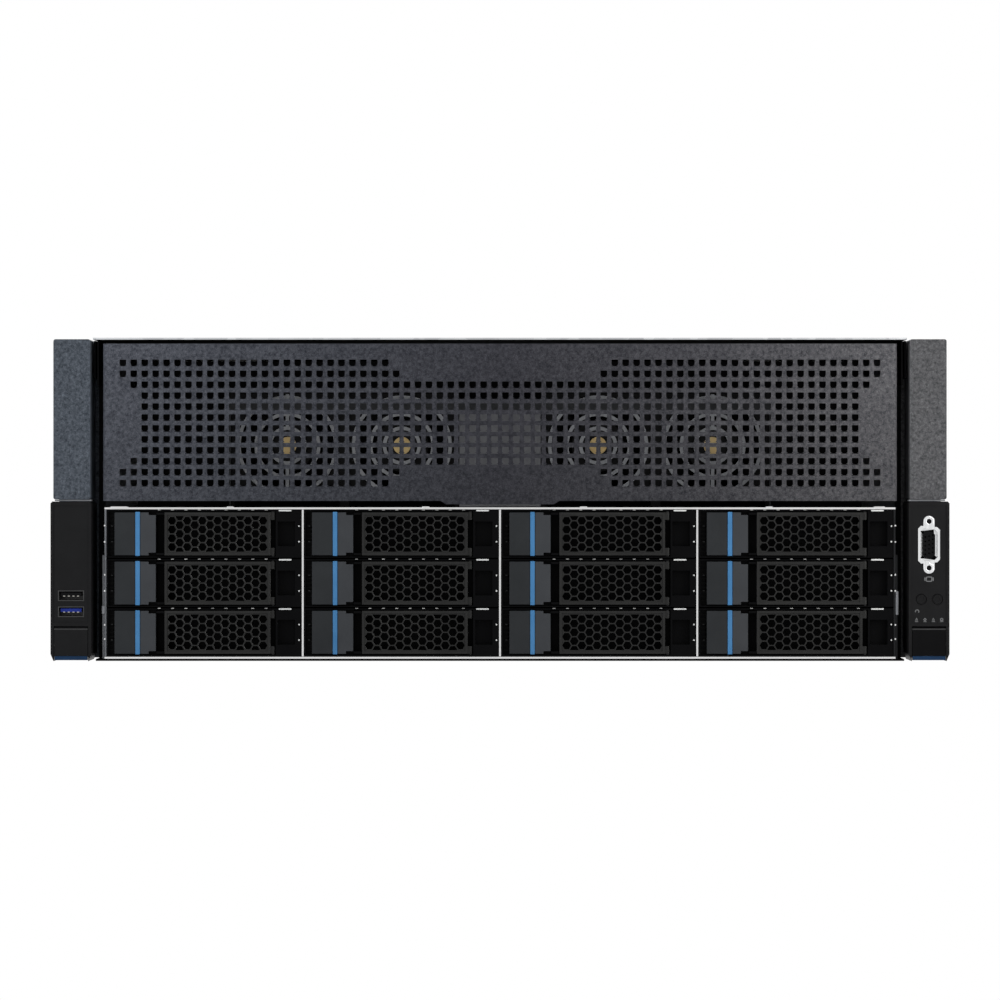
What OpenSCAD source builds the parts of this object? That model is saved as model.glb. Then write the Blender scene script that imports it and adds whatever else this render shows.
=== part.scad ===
// 4U rack server: twelve hot-swap drive trays under a perforated intake panel, a row of
// four fan modules, a two-socket mainboard, eight accelerator cards and four power supplies.
// The front faces -Y, +X is to the right of someone who looks at the front, and +Z is up.
// Origin: the middle of the footprint, on the underside of the chassis floor. Millimetres.

/* [Chassis] */
// Width over the two rack ears
rack_w = 482.6; // [480:0.1:484]
// Width of one rack ear
ear_w = 22.3; // [21.5:0.1:23]
// Height from the floor's underside to the top of the lid
body_h = 174; // [172:0.5:177]
// Depth from the ears' faces to the power supplies' handles
depth = 800; // [780:5:900]
// Thickness of the chassis sheet
sheet = 1; // [0.8:0.1:1.4]
// Thickness of the lid's sheet
lid_t = 1; // [0.8:0.1:1.2]
// Depth of the lid's skirt down each side
lid_skirt = 16; // [12:1:24]
// Gap between sheets that lie on each other
seat_gap = 0.2; // [0.1:0.05:0.3]
// Running gap round pieces that slide or swing
slide_gap = 0.35; // [0.3:0.05:0.45]
// How far the chassis's front edge lies behind the ears' faces
flange_set = 26; // [22:1:30]
// Radius of the inner slide-rail screw holes
rail_hole_r = 2.1; // [1.8:0.1:2.6]
// Spacing of the inner slide-rail screw holes
rail_hole_step = 240; // [200:10:260]

/* [Drive bays] */
// Room between the chassis wall and the drive cage
cage_side = 3.7; // [3:0.1:4.5]
// Height from one drive bay to the next
row_pitch = 26.5; // [26.5:0.1:27.5]
// Thickness of the dividers between the bays
divider_t = 1; // [0.8:0.1:1.2]
// How far the cage's front edge lies behind the ears' faces
cage_set = 8; // [7:0.5:12]
// Height of a drive
drive_h = 26.1; // [20:0.1:26.1]
// Length of a drive
drive_len = 147; // [140:1:147]
// Depth of the backplane's drive sockets
socket_d = 6; // [5:0.5:9]

/* [Tray front] */
// How far the trays' faces lie behind the ears' faces
tray_set = 6; // [4:0.5:7]
// Height of the button and lever faces
face_h = 23.1; // [22.4:0.1:23.4]
// Width of the release button
button_w = 22.1; // [20:0.1:23]
// Travel of the release button
button_travel = 2.5; // [2:0.1:3]
// Width of the blue strip across the button
strip_w = 2.5; // [2:0.1:3]
// Width of the finger recess between button and grille
finger_w = 4.8; // [4.4:0.1:6]
// Width of the grille's frame wall
frame_wall = 1.3; // [1:0.1:1.6]
// Depth of the lever from its face to its back
lever_d = 5; // [4:0.1:6]
// Width of the fixed block at the tray's right end
block_w = 13.6; // [12:0.1:14]
// Spacing of the honeycomb's cells
cell_pitch = 4.72; // [4.6:0.01:4.9]
// Wall between two cells of the honeycomb
cell_wall = 0.62; // [0.5:0.02:0.8]

/* [Intake panel] */
// How far the panel's face lies behind the ears' faces
panel_set = 4; // [2:0.5:6]
// Dark gap between the panel's end and the body's side
panel_inset = 5.3; // [4.5:0.1:6.5]
// Depth of the panel's folded edges
panel_d = 14; // [10:1:18]
// Gap between the panel and the drive cage under it
panel_gap = 3.5; // [3:0.1:4.5]
// Gap between the panel and the lid over it
panel_top_gap = 2.2; // [1.5:0.1:3]
// Spacing of the panel's holes
hole_pitch = 5.88; // [5.7:0.01:5.95]
// Width of the panel's square holes
hole_w = 3.6; // [3.2:0.1:3.8]
// Width of the pull lip under the panel's middle
pull_w = 64; // [50:1:80]

/* [Rack ears] */
// Distance from the ears' faces back to the rack's posts
ear_d = 32; // [30:1:36]
// Thickness of the ears' plate on the rack's posts
ear_plate = 2; // [1.5:0.1:2.5]
// Height of the lower, plastic half of the ear
module_h = 85.9; // [84:0.1:86.5]
// Gap between the two halves of the ear
ear_gap = 1.1; // [0.8:0.1:1.5]
// Wall of the ear's plastic module
module_wall = 2; // [1.6:0.1:2.4]
// Spacing of the two rack screws across the ears
rack_hole_step = 465.1; // [464:0.1:466]
// Radius of the rack screw holes
rack_hole_r = 3.5; // [3.2:0.1:3.6]
// Height of the ear's latch flap
flap_h = 15.6; // [14:0.1:17]
// Radius of the power and locator buttons
knob_r = 2.5; // [2.2:0.1:2.7]
// Travel of the power and locator buttons
knob_travel = 1.2; // [0.8:0.1:1.5]

/* [Cooling] */
// Width and height of a fan
fan_w = 60; // [58:1:62]
// Depth of a fan
fan_d = 38; // [34:1:40]
// Distance between two fans of a pair
fan_pitch = 65.8; // [64:0.1:67]
// Width of the post between the two pairs
post_w = 47; // [40:1:50]
// Height of the fans' axes over the chassis floor
fan_z = 118; // [112:1:120]
// Distance from the ears' faces to the fans
fan_set = 150; // [140:2:160]
// Blades on each fan rotor
blade_count = 7; // [5:1:9]
// Gap between the blades' tips and the fan's bore
tip_gap = 0.8; // [0.6:0.1:1.2]

/* [Boards and cards] */
// Thickness of a circuit board
board_t = 2; // [1.6:0.1:2.4]
// Width of one accelerator card with its gap
card_pitch = 40.64; // [40:0.08:41]
// Thickness of an accelerator card's shroud
card_t = 38; // [34:0.5:39]
// Length of an accelerator card
card_len = 267; // [250:1:280]
// Gap between the accelerator cards and the lid
card_gap = 6; // [5:0.5:10]
// Height of the shelf that carries the cards
shelf_z = 45; // [44:0.5:48]

/* [Power supplies] */
// Width of the port field beside the power supplies
io_w = 120.6; // [112:0.2:126]
// Gap between two power supplies
psu_gap = 2; // [1.6:0.1:3]
// Height of a power supply
psu_h = 40; // [39:0.5:40.5]
// Length of a power supply
psu_len = 185; // [180:1:195]
// Reach of a power supply's handle behind the rear wall
handle_reach = 22; // [18:1:26]

/* [Hidden] */
$fn = 48;
bay_columns = 4;
bay_rows = 3;
fan_count = 4;
card_count = 8;
psu_count = 4;

// Names of the nodes, one for each file
tray_ids = [for (i = [1 : bay_columns * bay_rows]) i];

// Planes along the depth
front_y = -depth / 2;
back_y = depth / 2;
wall_y = back_y - handle_reach;
flange_y = front_y + flange_set;
cage_y = front_y + cage_set;
tray_y = front_y + tray_set;
panel_y = front_y + panel_set;
post_y = front_y + ear_d;
fan_y = front_y + fan_set;

// Chassis walls: the lid's skirt lies outside them
body_w = rack_w - 2 * ear_w;
wall_x = body_w / 2 - lid_t - seat_gap;
lid_z = body_h - lid_t;
wall_h = lid_z - seat_gap;

// Screw holes for the slide rails
rail_y = 20;
rail_hole_z = 66;

// Drive bays
cage_w = 2 * (wall_x - sheet - cage_side);
bay_w = (cage_w - (bay_columns + 1) * divider_t) / bay_columns;
bay_floor_z = 2 * sheet + seat_gap;
cage_top_z = bay_floor_z + bay_rows * row_pitch + sheet;
ledge_w = 1.4;
ledge_h = 1.5;
ledge_set = 24;
bracket_t = 1;
bracket_h = 57;

// Trays, in a frame at the bay's left wall, the tray's face and the row's middle
tray_w = bay_w - 2 * slide_gap;
bezel_h = row_pitch - 2 * slide_gap;
lip_t = 0.8;
lip_set = 0.6;
bezel_back = 14;
bezel_plate = 5;
button_x = 4.6;
button_t = 2.4;
notch_w = 3.8;
notch_h = 1.4;
stem_x = button_x + 2;
stem_w = 10;
stem_h = 7.2;
lever_x = button_x + button_w + slide_gap;
grille_x = button_x + button_w + finger_w;
block_x = slide_gap + tray_w - block_w;
pivot_gap = 3;
pivot_x = block_x - pivot_gap / 2;
pivot_y = 2.2;
pivot_r = 0.9;
pivot_fit = 0.05;
barrel_r = 1.2;
grille_end = block_x - pivot_gap;
rail_t = 1.4;
rail_h = 19;
drive_fit = 0.1;
drive_w = bay_w - 2 * (slide_gap + rail_t + drive_fit);
drive_y = bezel_back + 0.3;
rail_len = drive_y + drive_len + 2;
pocket_w = 9.5;
pocket_h = 13.4;
cage_end_y = tray_y + drive_y + drive_len + slide_gap + socket_d;

// Intake panel
panel_w = body_w - 2 * panel_inset;
panel_z = cage_top_z + panel_gap;
panel_h = body_h - lid_t - panel_top_gap - panel_z;
panel_bend = 3;
lug_h = 14;
hole_rows = floor((panel_h - 12) / hole_pitch);
hole_columns = 2 * floor((panel_w - 2 * panel_bend - 4) / hole_pitch / 2);
title_gap = 20;

// Rack ears
ear_x = body_w / 2 + 1.2;
module_inner_x = body_w / 2 + 0.4;
ear_cover_x = rack_w / 2 - 1.3;
ear_z = module_h + ear_gap;
ear_h = body_h - 0.9 - ear_z;
ear_sheet = 1.5;
ear_leg_len = 60;
leg_top = body_h - lid_skirt - 3;
module_w = rack_w / 2 - module_inner_x;
module_z = 0.2;
module_x = (rack_w / 2 + module_inner_x) / 2;
module_d = ear_d - ear_plate - seat_gap;
flap_gap = 0.3;
flap_w = module_w - 2 * module_wall;
flap_t = 3;
flap_r = 1.6;
flap_z = 3;
flap_pivot_z = flap_z + flap_h - flap_r;
flap_pin_r = 0.8;
tab_h = 2.2;
rack_hole_z = 6;
knob_z = 33.4;
knob_x = [module_x - 4.1, module_x + 4.6];
port_z = [26.7, 35.3];
vga_z = 62.7;
jack_z = 12.5;

// Fans
fan_x = [for (i = [0 : fan_count - 1])
    (i < fan_count / 2 ? -1 : 1) * (post_w / 2 + fan_pitch * (abs(i - (fan_count - 1) / 2)))];
fan_bore_r = fan_w / 2 - 1.2;
hub_r = 15;
rail_top_h = 5;
carrier_wall = (fan_pitch - fan_w) / 2 - seat_gap;

// Boards, cards and power supplies
vent_pitch = 7;
board_z = sheet + 6;
board_y = cage_end_y + 24;
shelf_y = wall_y - card_len - 60;
board_len = shelf_y - board_y + 20;
slot_board_z = shelf_z + sheet + 4;
card_z = slot_board_z + board_t + 8;
card_h = lid_z - card_gap - card_z;
card_top = card_z + card_h;
card_x0 = -(card_count - 1) / 2 * card_pitch;
bracket_z = shelf_z + sheet + 1;
slot_y = wall_y - card_len - 20;
port_board_z = 5;
standoff_r = 3;
post_x = wall_x - 23;
psu_z = sheet + seat_gap + 0.3;
psu_side = 3;
io_side = 6;
io_x = wall_x - sheet - io_side - io_w;
psu_pitch = (io_x - 2 * psu_side + wall_x - sheet + psu_gap / 2) / psu_count;
psu_w = psu_pitch - psu_gap;
psu_x = [for (i = [0 : psu_count - 1]) -wall_x + sheet + psu_side + psu_w / 2 + i * psu_pitch];

// A box from its lowest corner to its highest one
module block(low, high) {
    translate(low) cube(high - low);
}

// A profile drawn in X and Z, given thickness along +Y from y
module plate_xz(y, t) {
    translate([0, y + t, 0]) rotate([90, 0, 0]) linear_extrude(t) children();
}

// A rectangle with true round corners, centred
module rounded(w, h, r) {
    square([w - 2 * r, h], center = true);
    square([w, h - 2 * r], center = true);
    for (x = [-1, 1], y = [-1, 1])
        translate([x * (w / 2 - r), y * (h / 2 - r)]) circle(r);
}

// A round bar along Y
module bar_y(x, z, y, length, r) {
    translate([x, y, z]) rotate([-90, 0, 0]) cylinder(r = r, h = length);
}

// A pipe or hole along X
module bar_x(x, y, z, length, r) {
    translate([x, y, z]) rotate([0, 90, 0]) cylinder(r = r, h = length);
}

// Mirrored copy for the right-hand side
module side(s) {
    if (s < 0) children();
    else mirror([1, 0, 0]) children();
}

// Honeycomb cells inside a window of w by h, centred; the odd columns end in cut cells
module honeycomb(w, h) {
    step = cell_pitch * cos(30);
    cell_r = (cell_pitch - cell_wall) / sqrt(3);
    reach = floor((w / 2 - cell_r) / step);
    rows = floor(h / cell_pitch);
    intersection() {
        square([w, h], center = true);
        for (i = [-reach : reach]) {
            odd = (i + reach) % 2;
            for (j = [0 : rows - 1 + odd])
                translate([i * step, (j - (rows - 1 + odd) / 2) * cell_pitch])
                    circle(cell_r, $fn = 6);
        }
    }
}

// Chassis: floor, side walls and their folded edges
module chassis_tub() {
    floor_front = cage_y;
    block([-wall_x, floor_front, 0], [wall_x, wall_y, sheet]);
    for (s = [-1, 1]) side(s) {
        difference() {
            block([-wall_x, flange_y, 0], [-wall_x + sheet, wall_y, wall_h]);
            for (i = [-1 : 1])
                bar_x(-wall_x - 1, rail_y + i * rail_hole_step, rail_hole_z,
                      sheet + 2, rail_hole_r);
        }
        // front flange: narrow beside the cage's bracket, wide behind the intake panel
        block([-wall_x, flange_y, 0],
              [-cage_w / 2 - bracket_t - 2 * seat_gap, flange_y + sheet, panel_z]);
        block([-wall_x, flange_y, panel_z - 0.1],
              [-panel_w / 2 - seat_gap, flange_y + sheet, wall_h]);
        block([-wall_x, flange_y + 30, wall_h - sheet], [-wall_x + 9, wall_y - 4, wall_h]);
    }
}

// Rear wall with the card slots, power supply bays and port windows
module rear_wall() {
    slots_w = card_count * card_pitch;
    vent_columns = floor((wall_x - sheet - slots_w / 2 - 16) / vent_pitch);
    vent_rows = floor((card_top - bracket_z - 22) / vent_pitch);
    plate_xz(wall_y - sheet, sheet) difference() {
        translate([-wall_x + sheet + seat_gap, sheet + seat_gap])
            square([2 * (wall_x - sheet - seat_gap), wall_h - 2 * sheet - 2 * seat_gap]);
        translate([-slots_w / 2, bracket_z]) square([slots_w, card_top - bracket_z]);
        for (x = psu_x)
            translate([x - psu_w / 2 - slide_gap, sheet])
                square([psu_w + 2 * slide_gap, psu_h + psu_z + slide_gap - sheet]);
        translate([io_x, port_board_z + board_t]) square([io_w, 30]);
        for (s = [-1, 1], i = [0 : vent_columns - 1], j = [0 : vent_rows - 1])
            translate([s * (slots_w / 2 + 9.5 + vent_pitch * i), bracket_z + 8 + vent_pitch * j])
                circle(2.75, $fn = 6);
    }
}

// Shelf that carries the cards over the power supplies, with the bays' partitions under it
module card_shelf() {
    inner = wall_x - sheet - seat_gap;
    block([-inner, shelf_y, shelf_z], [inner, wall_y - sheet - seat_gap, shelf_z + sheet]);
    for (i = [0 : psu_count - 1])
        block([psu_x[i] + psu_pitch / 2 - sheet / 2, wall_y - psu_len, sheet + seat_gap],
              [psu_x[i] + psu_pitch / 2 + sheet / 2, wall_y - sheet - seat_gap, shelf_z]);
    block([-inner, shelf_y, sheet + seat_gap], [-inner + 1, wall_y - sheet - seat_gap, shelf_z]);
    block([inner - 1, shelf_y, sheet + seat_gap], [inner, wall_y - sheet - seat_gap, shelf_z]);
}

// Round standoffs between a sheet and the board over it
module standoffs(xs, ys, low, high) {
    for (x = xs, y = ys) translate([x, y, low]) cylinder(r = standoff_r, h = high - low);
}

module chassis_base() {
    color("silver") {
        chassis_tub();
        rear_wall();
        card_shelf();
        standoffs([-post_x, -post_x / 3, post_x / 3, post_x],
                  [board_y + 10, board_y + board_len / 2, shelf_y - 10],
                  sheet - 0.1, board_z - seat_gap);
        standoffs([-post_x, 0, post_x], [slot_y + 10, wall_y - 45],
                  shelf_z + sheet - 0.1, slot_board_z - seat_gap);
        standoffs([io_x + 8, wall_x - 20], [wall_y - 26, wall_y - 8],
                  sheet - 0.1, port_board_z - seat_gap);
    }
}

// Lid: a flat sheet with a skirt down each side and a folded edge over the rear wall
module top_cover() {
    rear_y = wall_y + seat_gap;
    color("silver") {
        block([-body_w / 2, panel_y + 1, lid_z], [body_w / 2, rear_y + lid_t, body_h]);
        for (s = [-1, 1]) side(s)
            block([-body_w / 2, post_y + 8, body_h - lid_skirt],
                  [-body_w / 2 + lid_t, wall_y, lid_z + 0.1]);
        block([-body_w / 2 + 10, rear_y, body_h - 7],
              [body_w / 2 - 10, rear_y + lid_t, lid_z + 0.1]);
    }
}

// How many holes are left out at the end of a row, and in its middle
function row_inset(r) = max(0, min(2, min(r, hole_rows - 1 - r) - 1));
function row_gap(r) = let (e = min(r, hole_rows - 1 - r)) e < 2 ? title_gap - 2 * e : 0;

// Outline of the panel's holes: full rows with the corners and two middle bands left solid
module panel_holes() {
    for (r = [0 : hole_rows - 1], c = [row_inset(r) : hole_columns - 1 - row_inset(r)])
        if (abs(c - (hole_columns - 1) / 2) > row_gap(r) / 2)
            translate([(c - (hole_columns - 1) / 2) * hole_pitch,
                       ((hole_rows - 1) / 2 - r) * hole_pitch])
                square(hole_w, center = true);
}

// Half of the panel's folded section, seen from above: a bend and the flange behind it
module panel_edge() {
    translate([-panel_w / 2 + panel_bend, panel_y + panel_bend]) difference() {
        intersection() {
            circle(panel_bend);
            translate([-panel_bend, -panel_bend]) square(panel_bend);
        }
        circle(panel_bend - sheet);
    }
    translate([-panel_w / 2, panel_y + panel_bend]) square([sheet, panel_d - panel_bend]);
}

// Intake panel: a perforated face with folded edges and a pull lip under its middle
module front_panel() {
    face_w = panel_w - 2 * panel_bend;
    color("dimgray") {
        plate_xz(panel_y, sheet) difference() {
            union() {
                translate([-face_w / 2, panel_z]) square([face_w, panel_h]);
                polygon([[-pull_w / 2, panel_z], [pull_w / 2, panel_z],
                         [pull_w / 2 - 3, panel_z - 1.8], [3 - pull_w / 2, panel_z - 1.8]]);
            }
            translate([0, panel_z + panel_h / 2 - 0.4]) panel_holes();
        }
        for (s = [-1, 1]) side(s) {
            translate([0, 0, panel_z]) linear_extrude(panel_h) panel_edge();
            // lugs that screw to the edge of the chassis's flange
            for (k = [1, 3, 5])
                block([-panel_w / 2, panel_y + panel_d - 0.1, panel_z + k * panel_h / 6 - lug_h / 2],
                      [sheet - panel_w / 2, flange_y + 12, panel_z + k * panel_h / 6 + lug_h / 2]);
        }
        for (z = [panel_z, panel_z + panel_h - sheet])
            block([-face_w / 2 + 1, panel_y + sheet / 2, z],
                  [face_w / 2 - 1, panel_y + panel_d, z + sheet]);
    }
}

// Left face of the wall to the left of a bay column
function divider_x(i) = -cage_w / 2 + i * (bay_w + divider_t);
function bay_x(column) = divider_x(column) + divider_t;
function row_z(row) = bay_floor_z + (row + 0.5) * row_pitch;

// One upright of the cage, with ledges that carry the trays' rails
module cage_divider(i) {
    low = bay_floor_z + seat_gap;
    high = cage_top_z - sheet - seat_gap;
    block([divider_x(i), cage_y, low], [divider_x(i) + divider_t, cage_end_y, high]);
    for (row = [0 : bay_rows - 1], s = [-1, 1])
        if ((s < 0 && i > 0) || (s > 0 && i < bay_columns)) {
            x = s < 0 ? divider_x(i) - ledge_w : divider_x(i) + divider_t;
            z = row_z(row) - rail_h / 2 - slide_gap - ledge_h;
            block([x, cage_y + ledge_set, z], [x + ledge_w, cage_end_y, z + ledge_h]);
        }
}

// Drive cage: two plates, five uprights and the brackets that hold it in the chassis
module drive_cage() {
    color("gainsboro") {
        block([-cage_w / 2, cage_y, cage_top_z - sheet], [cage_w / 2, cage_end_y, cage_top_z]);
        block([-cage_w / 2, cage_y, sheet + seat_gap], [cage_w / 2, cage_end_y, bay_floor_z]);
        for (i = [0 : bay_columns]) cage_divider(i);
        for (s = [-1, 1]) side(s)
            block([-cage_w / 2 - bracket_t - seat_gap, cage_y + 1, sheet + seat_gap],
                  [-cage_w / 2 - seat_gap, cage_end_y, bracket_h]);
    }
}

// Backplane: a board with air slots and one socket for each drive
module drive_backplane() {
    y = cage_end_y + seat_gap;
    color("darkgreen") {
        plate_xz(y, board_t) difference() {
            translate([-cage_w / 2, sheet + seat_gap])
                square([cage_w, cage_top_z - sheet - seat_gap]);
            for (column = [0 : bay_columns - 1], row = [0 : bay_rows - 1], k = [0 : 2])
                translate([bay_x(column) + (0.44 + 0.18 * k) * bay_w, row_z(row) - 7])
                    square([0.13 * bay_w, 14]);
        }
        for (column = [0 : bay_columns - 1], row = [0 : bay_rows - 1])
            block([bay_x(column) + 6, y - socket_d, row_z(row) - 9],
                  [bay_x(column) + 39, y, row_z(row) - 3]);
    }
}

// Tray bezel: a shallow box, open in front for the button and lever and pierced for air
module tray_bezel() {
    x0 = slide_gap;
    x1 = slide_gap + tray_w;
    top = bezel_h / 2;
    window_x = grille_x + frame_wall;
    difference() {
        block([x0, lip_set, -top], [x1, bezel_back, top]);
        // room for the sliding button
        block([x0 + lip_t, 0, -top + lip_t], [lever_x + 0.1, button_t + 0.6, top - lip_t]);
        // room for the lever and the finger beside it
        block([lever_x, 0, -top + lip_t], [block_x, bezel_back - bezel_plate, top - lip_t]);
        // air window behind the grille
        block([window_x, 0, -face_h / 2 + frame_wall],
              [grille_end - frame_wall, bezel_back + 1, face_h / 2 - frame_wall]);
        // square pocket in the fixed block
        block([block_x + 1, 0, -pocket_h / 2], [block_x + 1 + pocket_w, 5, pocket_h / 2]);
        // pivot holes in the two lips
        translate([pivot_x, pivot_y, -top - 1])
            cylinder(r = pivot_r + pivot_fit, h = bezel_h + 2);
        // slot behind the button for its stem
        block([stem_x - button_travel - slide_gap, 0, -stem_h / 2 - slide_gap],
              [stem_x + stem_w + slide_gap, bezel_back - bezel_plate, stem_h / 2 + slide_gap]);
    }
    // rails over and under the finger recess
    for (s = [-1, 1]) translate([0, 0, s * (face_h / 2 - frame_wall / 2)])
        block([lever_x, 0, -frame_wall / 2], [grille_x - slide_gap, bezel_back - 1, frame_wall / 2]);
}

// Side rails that hold the drive between them
module tray_rails() {
    for (x = [slide_gap, slide_gap + tray_w - rail_t])
        block([x, bezel_back - 1, -rail_h / 2], [x + rail_t, rail_len, rail_h / 2]);
}

// A 3.5-inch drive with its stepped top cover, held between the rails
module hard_drive() {
    x = (bay_w - drive_w) / 2;
    step = 1.2;
    block([x, drive_y, -drive_h / 2], [x + drive_w, drive_y + drive_len, drive_h / 2 - step]);
    block([x + 3, drive_y + 3, 0], [x + drive_w - 3, drive_y + drive_len - 18, drive_h / 2]);
}

module drive_tray(i) {
    color("black") at_tray(i) {
        tray_bezel();
        tray_rails();
    }
    color("silver") at_tray(i) hard_drive();
}

// Release button: a notched plate with a blue strip let into it and a stem behind
module tray_button(i) {
    strip_x = button_x + 0.5 * button_w + 0.1;
    strip_d = 0.8;
    color("dimgray") at_tray(i) {
        difference() {
            block([button_x, 0, -face_h / 2], [button_x + button_w, button_t, face_h / 2]);
            for (s = [-1, 1])
                translate([button_x + button_w - notch_w / 2, 0, s * (face_h - notch_h) / 2])
                    cube([notch_w + 0.02, 10, notch_h + 0.02], center = true);
            block([strip_x, -1, -face_h / 2 - 1], [strip_x + strip_w, strip_d, face_h / 2 + 1]);
        }
        block([stem_x, button_t - 0.1, -stem_h / 2],
              [stem_x + stem_w, bezel_back - bezel_plate - 1, stem_h / 2]);
    }
    color("dodgerblue") at_tray(i)
        block([strip_x + 0.05, -0.3, -face_h / 2 - 0.3],
              [strip_x + strip_w - 0.05, strip_d - 0.05, face_h / 2 + 0.3]);
}

// Lever: a honeycomb grille in a frame that swings on two stubs at its right end
module tray_lever(i) {
    half = face_h / 2;
    grille_w = grille_end - grille_x;
    middle = (grille_end + grille_x) / 2;
    knuckle_h = 4;
    color("black") at_tray(i) {
        difference() {
            block([grille_x, 0, -half], [grille_end, lever_d, half]);
            block([grille_x + frame_wall, -1, -half + frame_wall],
                  [grille_end - frame_wall, 0.5, half - frame_wall]);
            block([grille_x + frame_wall, 2.8, -half + frame_wall],
                  [grille_end - frame_wall, lever_d + 1, half - frame_wall]);
            translate([middle, 0, 0]) plate_xz(-1, lever_d + 2)
                honeycomb(grille_w - 2 * frame_wall - 0.4, face_h - 2 * frame_wall - 1.3);
        }
        for (s = [-1, 1]) {
            z = s < 0 ? -half : half - knuckle_h;
            translate([pivot_x, pivot_y, z]) cylinder(r = barrel_r, h = knuckle_h);
            block([grille_end - 0.5, pivot_y - barrel_r, z],
                  [pivot_x, pivot_y + barrel_r, z + knuckle_h]);
        }
        for (z = [half - 0.1, -bezel_h / 2 + 0.1])
            translate([pivot_x, pivot_y, z])
                cylinder(r = pivot_r, h = bezel_h / 2 - half);
    }
}

// Trays count from the lower left, row by row
module at_tray(i) {
    column = (i - 1) % bay_columns;
    row = floor((i - 1) / bay_columns);
    translate([bay_x(column), tray_y, row_z(row)]) children();
}

// Rack ear: a hollow upper cover on a plate that runs down behind the plastic module
module rack_ear(s) {
    y0 = front_y + 2;
    color("dimgray") side(s) difference() {
        union() {
            difference() {
                plate_xz(y0, post_y - ear_plate - y0 + 0.1)
                    translate([-(ear_x + ear_cover_x) / 2, ear_z + ear_h / 2])
                        rounded(ear_cover_x - ear_x, ear_h, 1.2);
                block([-ear_cover_x + ear_sheet, y0 + ear_sheet, ear_z + ear_sheet],
                      [-ear_x - ear_sheet, post_y, ear_z + ear_h - ear_sheet]);
            }
            block([-ear_cover_x, post_y - ear_plate, 1], [-ear_x, post_y, ear_z + ear_h]);
            block([-ear_x - 1, post_y - ear_plate, 1], [-wall_x - seat_gap, post_y, leg_top]);
            block([-wall_x - seat_gap - 1, post_y - ear_plate, 1],
                  [-wall_x - seat_gap, post_y + ear_leg_len, leg_top]);
        }
        bar_y(-rack_hole_step / 2, rack_hole_z, post_y - ear_plate - 1, ear_plate + 2, rack_hole_r);
    }
}

// Plastic housing of the lower ear: hollow, with a pocket for the latch flap at its foot
module ear_module_shell(s) {
    x0 = -rack_w / 2;
    x1 = -module_inner_x;
    top = module_h;
    pocket_top = flap_pivot_z + flap_r + flap_gap;
    rim = 1.6;
    side(s) difference() {
        linear_extrude_y(front_y, module_d) polygon([
            [x0, 4], [x0 + 1.6, module_z], [x1 - 1.6, module_z], [x1, 4],
            [x1, top - 1], [x1 - 1, top], [x0 + 1, top], [x0, top - 1]]);
        // sunken front field inside the rim
        block([x0 + rim, front_y - 1, pocket_top + 2], [x1 - rim, front_y + 0.4, top - rim - 0.6]);
        // hollow behind the face
        block([x0 + module_wall, front_y + module_wall, pocket_top + module_wall],
              [x1 - module_wall, post_y, top - module_wall]);
        // pocket for the flap, open in front, below and to the rack screw behind
        block([x0 + module_wall - flap_gap, front_y - 1, -1],
              [x1 - module_wall + flap_gap, post_y, pocket_top]);
        bar_x(x0 + 0.6, front_y + flap_r, flap_pivot_z, module_w - 1.2, flap_pin_r + pivot_fit);
    }
}

// A profile in X and Z carried along +Y
module linear_extrude_y(y, length) {
    plate_xz(y, length) children();
}

// USB socket: a shell with a tongue, its mouth in the module's face
module usb_socket(x, z) {
    w = 14;
    h = 5.7;
    length = 16;
    difference() {
        block([x - w / 2, front_y + 0.4, z - h / 2], [x + w / 2, front_y + length, z + h / 2]);
        block([x - w / 2 + 0.5, front_y - 1, z - h / 2 + 0.5],
              [x + w / 2 - 0.5, front_y + length - 3, z + h / 2 - 0.5]);
    }
    block([x - 5.6, front_y + 1.2, z - 0.1], [x + 5.6, front_y + length - 2.5, z + 1.7]);
}

module usb_module_left() {
    color("black") difference() {
        ear_module_shell(-1);
        for (z = port_z)
            block([-module_x - 7.1, front_y - 1, z - 2.95],
                  [-module_x + 7.1, front_y + module_wall + 1, z + 2.95]);
    }
    color("silver") for (z = port_z) usb_socket(-module_x, z);
}

// D-shaped outline of the display port, upright
module d_outline(grow) {
    w = 4.15 + grow;
    h = 8.45 + grow;
    polygon([[-w, -h + 1.5], [-w + 1.5, -h], [w - 1.5, -h + 0.7], [w, -h + 2.2],
             [w, h - 2.2], [w - 1.5, h - 0.7], [-w + 1.5, h], [-w, h - 1.5]]);
}

// Display port: flange, shell, socket body and the two jack nuts, with its 15 contacts
module vga_port() {
    face = front_y + 1;
    difference() {
        union() {
            plate_xz(face - 0.9, module_wall + 4) translate([module_x, vga_z]) d_outline(1.7);
            for (s = [-1, 1]) bar_y(module_x, vga_z + s * jack_z, face - 0.9, 4, 3);
            plate_xz(face - 0.4, 3) translate([module_x, vga_z]) rounded(6, 26, 1);
        }
        plate_xz(face - 2, 6) translate([module_x, vga_z]) difference() {
            d_outline(0.4);
            d_outline(-0.9);
        }
        for (s = [-1, 1]) bar_y(module_x, vga_z + s * jack_z, face - 2, 5, 1.4);
        for (column = [-1 : 1], k = [0 : 4])
            bar_y(module_x + column * 2, vga_z + (k - 2) * 2.3 + column * 0.55, face - 2, 4, 0.45);
    }
}

module vga_module_right() {
    color("black") difference() {
        ear_module_shell(1);
        plate_xz(front_y - 1, module_wall + 2) {
            translate([module_x, vga_z]) d_outline(1.9);
            translate([module_x, vga_z]) rounded(6.4, 26.4, 1);
            for (s = [-1, 1]) translate([module_x, vga_z + s * jack_z]) circle(3.2);
        }
        for (x = knob_x)
            bar_y(x, knob_z, front_y - 1, module_wall + 2, knob_r + slide_gap);
    }
    color("silver") vga_port();
}

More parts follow.
